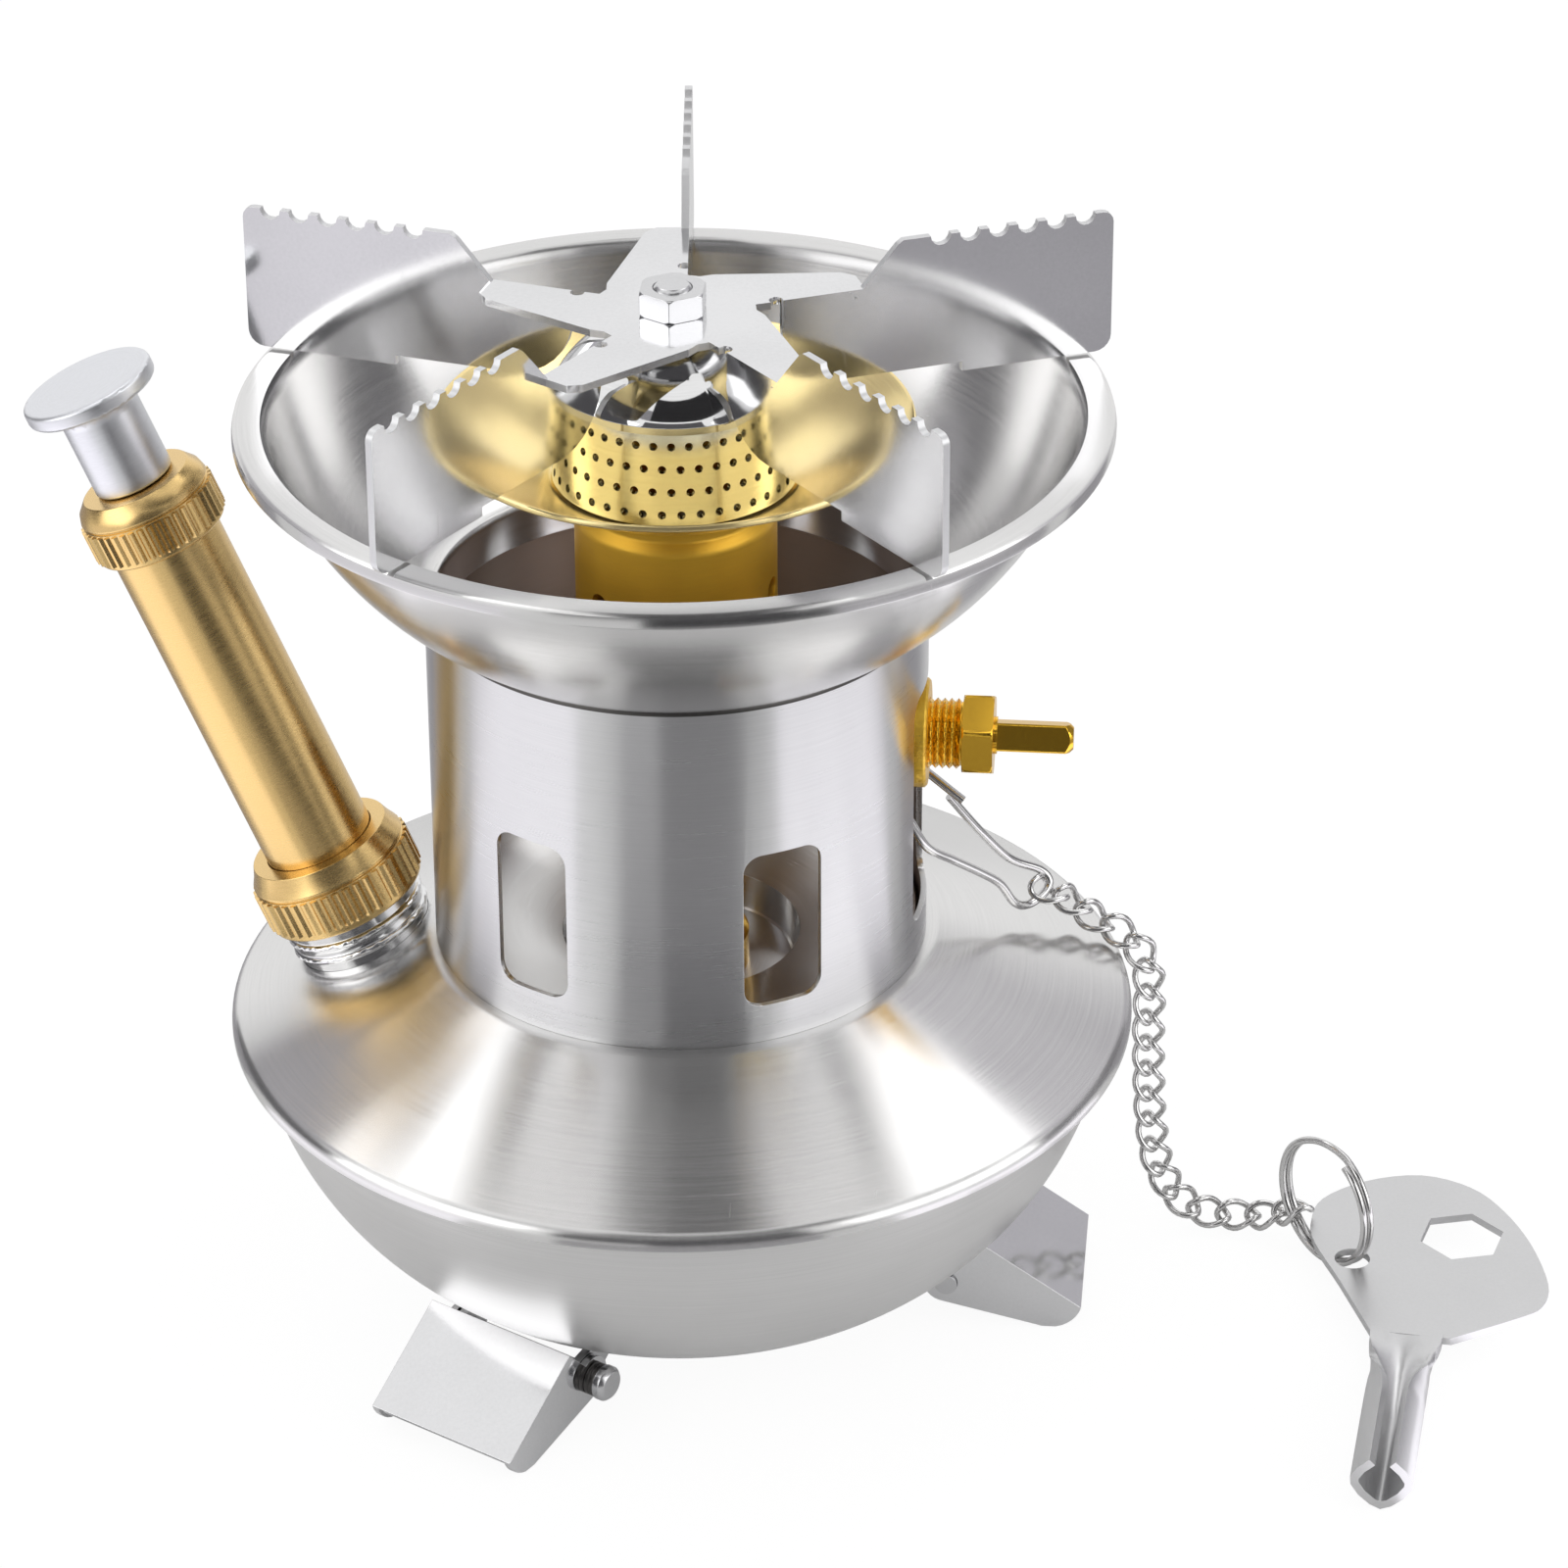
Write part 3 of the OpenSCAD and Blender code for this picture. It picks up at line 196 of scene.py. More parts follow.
def sums(tree, how, a, b=0.0, c=0.0):
    """One arithmetic node's result."""
    return put(tree, "ShaderNodeMath", {0: a, 1: b, 2: c}, operation=how).outputs[0]


def spread(tree, value, low, high, to_low, to_high):
    """A value carried from one range to another, held at its ends."""
    links = {"Value": value, "From Min": low, "From Max": high, "To Min": to_low, "To Max": to_high}
    return put(tree, "ShaderNodeMapRange", links, clamp=True).outputs["Result"]


def cloud(tree, vector, scale, detail=2.0, roughness=0.5):
    """The value of a noise."""
    links = {"Vector": vector, "Scale": scale, "Detail": detail, "Roughness": roughness}
    return put(tree, "ShaderNodeTexNoise", links).outputs["Fac"]


def between(tree, factor, first, second):
    """A colour between two colours."""
    made = put(tree, "ShaderNodeMix", {"Factor": factor}, data_type="RGBA")
    for socket, value in ((made.inputs[6], first), (made.inputs[7], second)):
        if isinstance(value, NodeSocket):
            tree.links.new(value, socket)
        else:
            socket.default_value = (*value, 1.0)
    return made.outputs[2]


def new_finish(name, foot=(0.0, 0.0, 0.0), tilt=(0.0, 0.0, 0.0)):
    """An empty material with a shader, and the place of each point seen from the piece's own axis."""
    material = bpy.data.materials.new(name)
    tree = blank(material)
    shader = put(tree, "ShaderNodeBsdfPrincipled")
    put(tree, "ShaderNodeOutputMaterial", {"Surface": shader.outputs[0]})
    place = put(tree, "ShaderNodeTexCoord").outputs["Object"]
    seat = {"Vector": place, "Location": foot, "Rotation": tilt}
    place = put(tree, "ShaderNodeMapping", seat, vector_type="TEXTURE").outputs[0]
    return material, tree, shader, place


def finished(tree, shader, tone, grain, height, depth, distance, metallic):
    """Links a finish's colour, roughness and bump, with the bump's distance in millimetres, and sets its metal."""
    bump = put(tree, "ShaderNodeBump", {"Height": height, "Strength": depth, "Distance": distance * MM})
    for name, value in (("Base Color", tone), ("Roughness", grain), ("Normal", bump.outputs[0])):
        tree.links.new(value, shader.inputs[name])
    shader.inputs["Metallic"].default_value = metallic


def shaded(colour, factor):
    """A colour made lighter or darker."""
    return tuple(min(1.0, part * factor) for part in colour)


def hairlines(tree, place, across, along, rare):
    """Fine scratches: a noise drawn out one way, of which only the tops count."""
    drawn = put(tree, "ShaderNodeMapping", {"Vector": place, "Rotation": along, "Scale": across}).outputs[0]
    return spread(tree, cloud(tree, drawn, 1.0, 1.0), rare, rare + 0.05, 0.0, 1.0)


def lathe_finish(
    name, colour, rough, lines, runs, depth, stretch=0.0, metal=1.0, foot=(0, 0, 0), tilt=(0, 0, 0)
):
    """Metal with fine lines round its axis, as a lathe, a spinning block or a brush leaves them."""
    material, tree, shader, place = new_finish(name, foot, tilt)
    parts = put(tree, "ShaderNodeSeparateXYZ", {"Vector": place}).outputs
    flat = put(tree, "ShaderNodeCombineXYZ", {"X": parts["X"], "Y": parts["Y"]}).outputs[0]
    radius = put(tree, "ShaderNodeVectorMath", {0: flat}, operation="LENGTH").outputs["Value"]
    angle = sums(tree, "ARCTAN2", parts["Y"], parts["X"])
    wound = put(
        tree,
        "ShaderNodeCombineXYZ",
        {
            "X": sums(tree, "MULTIPLY", radius, lines / MM),
            "Y": sums(tree, "MULTIPLY", parts["Z"], lines / MM),
            "Z": sums(tree, "MULTIPLY", angle, runs),
        },
    ).outputs[0]
    fine = cloud(tree, wound, 1.0, 4.0, 0.65)
    broad = cloud(tree, place, 55.0, 3.0)
    nicks = hairlines(tree, place, (1400.0, 60.0, 300.0), (0.3, 0.2, 0.7), 0.78)
    mixed = sums(tree, "MULTIPLY_ADD", broad, 0.35, sums(tree, "MULTIPLY", fine, 0.65))
    tone = between(tree, spread(tree, mixed, 0.3, 0.7, 0.0, 1.0), shaded(colour, 0.92), shaded(colour, 1.04))
    polish = spread(tree, mixed, 0.3, 0.7, rough * 0.82, rough * 1.2)
    grain = sums(tree, "ADD", polish, sums(tree, "MULTIPLY", nicks, 0.05))
    height = sums(tree, "SUBTRACT", fine, sums(tree, "MULTIPLY", nicks, 0.3))
    finished(tree, shader, tone, grain, height, depth, 0.1, metal)
    if stretch:
        shader.inputs["Anisotropic"].default_value = stretch
        shader.inputs["Anisotropic Rotation"].default_value = 0.25
        round_axis = put(tree, "ShaderNodeTangent", direction_type="RADIAL", axis="Z")
        tree.links.new(round_axis.outputs[0], shader.inputs["Tangent"])
    return material


def sheet_finish(name, colour, rough, wave=0.05, wear=0.7, metallic=1.0):
    """Bright or satin metal with a faint roll in the sheet, hairlines two ways and small dull patches."""
    material, tree, shader, place = new_finish(name)
    broad = cloud(tree, place, 60.0, 2.0)
    fine = cloud(tree, place, 2200.0, 3.0, 0.6)
    first = hairlines(tree, place, (1500.0, 90.0, 90.0), (0.2, 0.5, 0.4), wear)
    second = hairlines(tree, place, (80.0, 1300.0, 120.0), (0.6, 0.1, 1.1), wear)
    marks = sums(tree, "MAXIMUM", first, second)
    mixed = sums(tree, "MULTIPLY_ADD", broad, 0.6, sums(tree, "MULTIPLY", fine, 0.4))
    tone = between(tree, spread(tree, mixed, 0.35, 0.65, 0.0, 1.0), shaded(colour, 0.95), shaded(colour, 1.03))
    polish = spread(tree, mixed, 0.35, 0.65, rough * 0.85, rough * 1.15)
    grain = sums(tree, "ADD", polish, sums(tree, "MULTIPLY", marks, 0.06))
    height = sums(tree, "MULTIPLY_ADD", fine, 0.08, sums(tree, "SUBTRACT", broad, sums(tree, "MULTIPLY", marks, 0.06)))
    finished(tree, shader, tone, grain, height, wave, 0.6, metallic)
    return material


def rough_finish(name, colour, rough, grit, depth, metallic=0.0):
    """A grainy surface: cast metal, rubber, leather or cotton."""
    material, tree, shader, place = new_finish(name)
    broad = cloud(tree, place, grit / 6.0, 2.0)
    fine = cloud(tree, place, grit, 4.0, 0.6)
    cells = put(tree, "ShaderNodeTexVoronoi", {"Vector": place, "Scale": grit * 0.7}).outputs["Distance"]
    mixed = sums(tree, "MULTIPLY_ADD", broad, 0.5, sums(tree, "MULTIPLY", fine, 0.5))
    tone = between(tree, spread(tree, mixed, 0.3, 0.7, 0.0, 1.0), shaded(colour, 0.75), shaded(colour, 1.12))
    grain = spread(tree, mixed, 0.3, 0.7, rough * 0.8, min(1.0, rough * 1.2))
    height = sums(tree, "ADD", fine, sums(tree, "MULTIPLY", cells, 0.5))
    finished(tree, shader, tone, grain, height, depth, 0.15, metallic)
    return material


FINISHES = {}

# Index of the point of the tank's line where its slope starts
SLOPE_START = 7


def pump_seat():
    """Foot of the pump's axis on the tank's slope, in metres, and the axis's turn about Y."""
    shell = bpy.context.scene.stove_shell
    away = bpy.context.scene.stove_burner.pump_distance
    edge, low = tank_line()[SLOPE_START]
    rise = low * MM + (edge * MM - away) * tan(shell.tank_slope)
    return Vector((-away, 0.0, rise)), -shell.tank_slope


def finishes():
    """All finishes of the stove, made once."""
    if FINISHES:
        return FINISHES
    c = bpy.context.scene.stove_colours
    foot, lean = pump_seat()
    pump = {"foot": tuple(foot), "tilt": (0.0, lean, 0.0)}
    valve = {"foot": (0.0, 0.0, bpy.context.scene.stove_burner.valve_height), "tilt": (0.0, pi / 2, 0.0)}
    FINISHES.update(
        tank=lathe_finish("tank_spun_steel", c.spun_steel, 0.23, 4.0, 2.0, 0.02, 0.9),
        base=lathe_finish("base_satin_steel", c.spun_steel, 0.34, 4.0, 2.0, 0.03, 0.4),
        bowl=lathe_finish("bowl_spun_steel", c.spun_steel, 0.2, 3.6, 2.0, 0.02, 0.8),
        neck=lathe_finish("neck_brushed_steel", c.brushed_steel, 0.3, 5.0, 2.5, 0.04, 0.95),
        inside=lathe_finish("neck_heat_tint", c.heat_tint, 0.4, 5.0, 2.5, 0.04),
        sheet=sheet_finish("bright_sheet_steel", c.bright_sheet, 0.1, 0.03, 0.74),
        edge=sheet_finish("sheared_sheet_edge", c.bright_sheet, 0.42, 0.1, 0.7, 0.6),
        zinc=sheet_finish("zinc_plated_steel", c.zinc, 0.24, 0.03, 0.76),
        # Dark steel: the hinge washers' own finish, and painted shade on the seam under the bowl
        washer=sheet_finish("dark_washer_steel", c.dark_steel, 0.4, 0.06),
        chrome=lathe_finish("dome_chrome", c.chrome, 0.05, 2.0, 2.0, 0.006),
        filler=lathe_finish("filler_chrome", c.chrome, 0.12, 4.0, 2.0, 0.02, **pump),
        nickel=sheet_finish("nickel_wire", c.nickel, 0.16, 0.03, 0.76),
        key=sheet_finish("key_satin_nickel", c.key_steel, 0.36, 0.03, 0.74),
        barrel=lathe_finish("pump_satin_brass", c.satin_brass, 0.27, 4.0, 3.0, 0.02, **pump),
        knurl=lathe_finish("knurled_brass", c.satin_brass, 0.27, 4.0, 6.0, 0.015, **pump),
        valve=lathe_finish("turned_valve_brass", c.valve_brass, 0.17, 4.0, 4.0, 0.04, **valve),
        cast=rough_finish("sawn_valve_brass", c.valve_brass, 0.3, 1500.0, 0.7, 0.5),
        saucer=lathe_finish("saucer_bright_brass", c.saucer_brass, 0.2, 3.0, 2.0, 0.02, metal=0.9),
        cone=lathe_finish("cone_bright_brass", c.bright_brass, 0.16, 3.0, 2.0, 0.02),
        cup=lathe_finish("cup_satin_brass", c.valve_brass, 0.42, 4.0, 3.0, 0.04, metal=0.7),
        knob=lathe_finish("knob_aluminium", c.aluminium, 0.38, 4.0, 4.0, 0.05, **pump),
        rubber=rough_finish("black_rubber", c.rubber, 0.75, 1500.0, 0.2),
        leather=rough_finish("pump_leather", c.leather, 0.7, 900.0, 0.4),
        cotton=rough_finish("cotton_wick", c.cotton, 0.95, 2600.0, 0.7),
    )
    return FINISHES


# Modelling steps


def mode(name):
    """Puts the active piece in a mode."""
    bpy.ops.object.mode_set(mode=name)


def alone(piece=None):
    """Leaves edit mode and selects one piece only."""
    if bpy.context.object and bpy.context.object.mode != "OBJECT":
        mode("OBJECT")
    bpy.ops.object.select_all(action="DESELECT")
    if piece:
        piece.select_set(True)
        bpy.context.view_layer.objects.active = piece


def apply(piece, kind, **settings):
    """Adds one modifier and applies it."""
    alone(piece)
    made = piece.modifiers.new(kind.title(), kind)
    for key, value in settings.items():
        setattr(made, key, value)
    bpy.ops.object.modifier_apply(modifier=made.name)
    return piece


def smooth(piece, angle=32.0):
    """Smooth faces that keep flat ones flat, with an edge where they meet at more than the angle."""
    alone(piece)
    bpy.ops.object.shade_smooth_by_angle(angle=radians(angle))
    return apply(piece, "WEIGHTED_NORMAL", keep_sharp=True, weight=60)


def ease(piece, width, angle=40.0, segments=2):
    """Rounds the sharp edges of a piece by a width in millimetres."""
    return apply(
        piece, "BEVEL", width=width * MM, segments=segments, limit_method="ANGLE", angle_limit=radians(angle),
        harden_normals=False, use_clamp_overlap=True
    )


def cut(piece, cutter):
    """Takes the cutter's shape out of a piece and removes the cutter."""
    apply(piece, "BOOLEAN", operation="DIFFERENCE", solver="EXACT", object=cutter)
    bpy.data.objects.remove(cutter)
    return piece


def pick(piece, test):
    """Selects the faces that pass a test, and stays in edit mode."""
    alone(piece)
    mode("EDIT")
    bpy.ops.mesh.select_mode(type="FACE")
    bpy.ops.mesh.select_all(action="DESELECT")
    mode("OBJECT")
    for face in piece.data.polygons:
        face.select = test(face)
    mode("EDIT")


def pen(name):
    """A new mesh of one vertex at the origin, in edit mode."""
    alone()
    bpy.ops.mesh.primitive_plane_add(size=2 * MM, location=(0, 0, 0))
    piece = bpy.context.object
    piece.name = name
    piece.data.name = name
    mode("EDIT")
    bpy.ops.mesh.select_all(action="SELECT")
    bpy.ops.mesh.merge(type="CENTER")
    return piece


def draw(points):
    """Draws a line from the pen's vertex through points in metres."""
    bpy.ops.transform.translate(value=points[0])
    for first, second in zip(points, points[1:]):
        bpy.ops.mesh.extrude_vertices_move(TRANSFORM_OT_translate={"value": second - first})


def spun(name, line, steps=128, foot=(0.0, 0.0, 0.0), lean=0.0, wall=0.0, start=0.0, sweep=tau):
    """Spins a line of radius and height in millimetres about an upright or leaning axis; a wall thickens it."""
    axis = Vector((sin(lean), 0.0, cos(lean)))
    side = Matrix.Rotation(start, 3, axis) @ Vector((cos(lean), 0.0, -sin(lean)))
    foot = Vector(foot)
    piece = pen(name)
    draw([foot + side * (r * MM) + axis * (h * MM) for r, h in line])
    bpy.ops.mesh.select_all(action="SELECT")
    bpy.ops.mesh.spin(steps=steps, angle=-sweep, center=foot, axis=axis)
    bpy.ops.mesh.select_all(action="SELECT")
    bpy.ops.mesh.remove_doubles(threshold=1e-6)
    bpy.ops.mesh.normals_make_consistent(inside=False)
    mode("OBJECT")
    if wall:
        apply(piece, "SOLIDIFY", thickness=wall * MM, offset=0.0, use_even_offset=True)
    return piece


def plug(name, foot, direction, radius, low, high, sides=64):
    """A round cutter along a direction, from low to high, in millimetres."""
    alone()
    way = Vector(direction).normalized()
    middle = Vector(foot) + way * ((low + high) / 2 * MM)
    bpy.ops.mesh.primitive_cylinder_add(vertices=sides, radius=radius * MM, depth=(high - low) * MM, location=middle)
    piece = bpy.context.object
    piece.name = name
    piece.rotation_euler = way.to_track_quat("Z", "Y").to_euler()
    bpy.ops.object.transform_apply(location=True, rotation=True, scale=True)
    return piece


def taken(node, flat=0.6):
    """A merged copy of a solid, with its flat faces joined."""
    alone()
    piece = bpy.data.objects.new(node + "_piece", frame["nodes"][node].data.copy())
    piece.data.materials.clear()
    bpy.context.scene.collection.objects.link(piece)
    alone(piece)
    mode("EDIT")
    bpy.ops.mesh.select_all(action="SELECT")
    bpy.ops.mesh.remove_doubles(threshold=2e-6)
    if flat:
        bpy.ops.mesh.dissolve_limited(angle_limit=radians(flat))
    mode("OBJECT")
    return piece


def wire(name, points, thick, closed=False, sides=6):
    """A round wire along points in metres, made a mesh."""
    alone()
    bpy.ops.curve.primitive_bezier_curve_add()
    line = bpy.context.object
    line.name = name
    line.data.splines.clear()
    spline = line.data.splines.new("POLY")
    spline.points.add(len(points) - 1)
    for knot, point in zip(spline.points, points):
        knot.co = (*point, 1.0)
    spline.use_cyclic_u = closed
    line.data.bevel_depth = thick / 2
    line.data.bevel_resolution = sides
    line.data.use_fill_caps = True
    bpy.ops.object.convert(target="MESH")
    piece = bpy.context.object
    piece.data.name = name
    return piece


def repeated(first, places):
    """A piece at the first of its places, joined with copies of it at the others."""
    copies = []
    for place in places[1:]:
        copy = bpy.data.objects.new(first.name, first.data.copy())
        bpy.context.scene.collection.objects.link(copy)
        copy.data.transform(place)
        copies.append(copy)
    first.data.transform(places[0])
    alone(first)
    for copy in copies:
        copy.select_set(True)
    bpy.ops.object.join()
    return first


def fit(piece, finish, *nodes):
    """Gives a piece its finish and puts it in the place of its nodes."""
    piece.data.materials.clear()
    piece.data.materials.append(finishes()[finish])
    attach(piece, BODY_OF[nodes[0]])
    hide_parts(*nodes)
    return piece


def second_finish(piece, finish, test):
    """Gives the faces that pass a test a finish of their own."""
    piece.data.materials.append(finishes()[finish])
    pick(piece, test)
    piece.active_material_index = len(piece.data.materials) - 1
    bpy.ops.object.material_slot_assign()
    bpy.ops.mesh.select_mode(type="VERT")
    mode("OBJECT")


def dress(node, finish, width=0.15, angle=40.0, round_angle=32.0, flat=0.6):
    """A solid's merged copy with eased edges, in the solid's place."""
    piece = taken(node, flat)
    if width:
        ease(piece, width, angle)
    return fit(smooth(piece, round_angle), finish, node)


# Lines of the spun pieces, radius and height in millimetres


def arc(across, up, radius, start, end, steps):
    """Points of an arc from one angle to another, in degrees."""
    turns = [radians(start + (end - start) * i / steps) for i in range(steps + 1)]
    return [(across + radius * cos(a), up + radius * sin(a)) for a in turns]


def tank_line():
    """Middle line of the upper shell, from its lip to the priming well."""
    s = bpy.context.scene.stove_shell
    edge, low, sheet = s.rim_radius / MM, s.rim_height / MM, s.tank_sheet / MM
    slope = degrees(s.tank_slope)
    line = [(edge - sheet / 2, low)] + arc(edge - 2, low + 0.5, 2 - sheet / 2, 0, 90 - slope, 6)
    rise = tan(s.tank_slope)
    neck, wall = s.neck_radius / MM, s.neck_sheet / MM
    land = neck + 1.1
    top = line[-1][1] + (line[-1][0] - land) * rise
    collar = neck - wall - 0.2 - sheet / 2
    return line + [
        (land + 6, top - 6 * rise), (land + 0.6, top - 0.55 * rise), (land - 0.3, top), (collar + 0.5, top),
        (collar, top + 0.4), (collar, top + 2.4), (collar - 0.3, top + 2.9), (collar - 1, top + 3.1), (16.2, top - 1),
        (15.4, top - 5.2), (14.9, top - 5.73), (5.05, top - 5.73),
    ]


def base_line():
    """Middle line of the lower shell, from the axis to its rim."""
    s = bpy.context.scene.stove_shell
    edge, low, sheet, under = s.rim_radius / MM, s.rim_height / MM, s.tank_sheet / MM, s.underside / MM
    side, draft, fillet = 44.6, radians(6.5), 8.0
    top = (edge - 2.8, low + 0.3)
    across, up = top[0] - side * cos(draft), top[1] + side * sin(draft)
    bend = under + fillet
    bend_x = across + sqrt((side - fillet) ** 2 - (up - bend) ** 2)
    meet = degrees(atan2(bend - up, bend_x - across))
    return (
        [(0, under + sheet / 2), (20, under + sheet / 2)]
        + arc(bend_x, bend, fillet - sheet / 2, -90, meet, 10)
        + arc(across, up, side - sheet / 2, meet + 1.5, -7.5, 30)
        + [(top[0] - sheet / 2, low + sheet / 2 + 0.02), (edge - sheet - 0.4, low + sheet / 2 + 0.02)]
    )


def bowl_line():
    """Middle line of the wind bowl, from its spigot to its hem."""
    s = bpy.context.scene.stove_shell
    neck, wall, foot = s.neck_radius / MM, s.neck_sheet / MM, s.neck_top / MM
    edge, top, lip, sheet = s.bowl_radius / MM, s.bowl_top / MM, s.bowl_lip / MM, s.bowl_sheet / MM
    spigot = neck - wall - 0.1 - sheet / 2
    first, last = Vector((neck + 0.3, foot + sheet / 2)), Vector((edge, top - sheet / 2 - 0.4))
    curve = 48.0
    way = last - first
    left = Vector((-way.y, way.x)).normalized()
    middle = (first + last) / 2 + left * sqrt(curve**2 - (way.length / 2) ** 2)
    turns = [degrees(atan2(p.y - middle.y, p.x - middle.x)) for p in (first, last)]
    flat = top - sheet / 2
    return (
        [(spigot, foot - 5.2), (spigot, foot - 0.4), (spigot + 0.3, foot + 0.2)]
        + arc(middle.x, middle.y, curve, turns[0], turns[1], 24)
        + [(edge + 0.5, flat), (edge + lip - sheet / 2 - 0.5, flat), (edge + lip - sheet / 2 - 0.1, flat - 0.2)]
        + [(edge + lip - sheet / 2, flat - 0.6), (edge + lip - sheet / 2, flat - 1.4)]
    )


# Floor and sky: sizes in metres, and how much of the white is their own
FLOOR_SIZE, FLOOR_DROP = 8.0, 0.0002
FLOOR_WHITE, FLOOR_SEEN, FLOOR_MIRRORED = 1.06, 0.88, 0.1
SKY_LIGHT = 0.6

# Lamps: angles in degrees from the camera's direction, reach in millimetres, sizes in metres
LAMP_REACH = 1350.0
LAMPS = (
    ("left_box", -64.0, 25.0, (1.25, 0.7)),
    ("right_box", 68.0, 25.0, (1.25, 0.7)),
    ("left_top_box", -141.0, 57.0, (0.6, 0.4)),
    ("right_top_box", 141.0, 57.0, (0.6, 0.4)),
)

# Cards that the metal mirrors: name, shade, heights in degrees or reaches in millimetres, and angles from the camera
CARD_REACH, CARD_RISE = 1900.0, 0.1
ROOM_CARDS = (
    ("front_card", 0.11, -2, 42, -30, 30),
    ("ceiling_left_card", 0.28, 46, 54, -76, -26),
    ("ceiling_right_card", 0.28, 46, 54, 58, 105),
    ("camera_card", 0.03, 46, 64, -26, 58),
    ("left_card", 0.14, 0, 30, -140, -90),
    ("right_card", 0.24, 0, 28, 92, 138),
    ("right_end_card", 0.55, 0, 30, 138, 152),
    ("left_high_card", 0.48, 30, 48, -160, -105),
    ("right_high_card", 0.65, 30, 48, 105, 155),
)
FLOOR_CARDS = (
    ("front_floor_card", 0.3, 110, 205, -24, 28),
    ("front_far_card", 0.04, 260, 2600, -7, 38),
    ("left_near_card", 1.4, 110, 235, -100, -44),
    ("right_near_card", 1.65, 110, 235, 44, 102),
    ("left_far_card", 0.85, 235, 1200, -100, -40),
    ("right_far_card", 0.42, 235, 1200, 38, 102),
    ("right_dark_card", 0.1, 1200, 2600, 38, 62),
    ("left_floor_card", 0.38, 110, 1200, -152, -112),
    ("right_floor_card", 0.38, 110, 1200, 112, 138),
)

# Strip over the stove, in metres, with X towards the camera
STRIP_SHADE, STRIP_SIZE, STRIP_PLACE = 0.05, (2.0, 0.48), (-0.75, 0.07, 1.7)


# Operators, one for each group of pieces


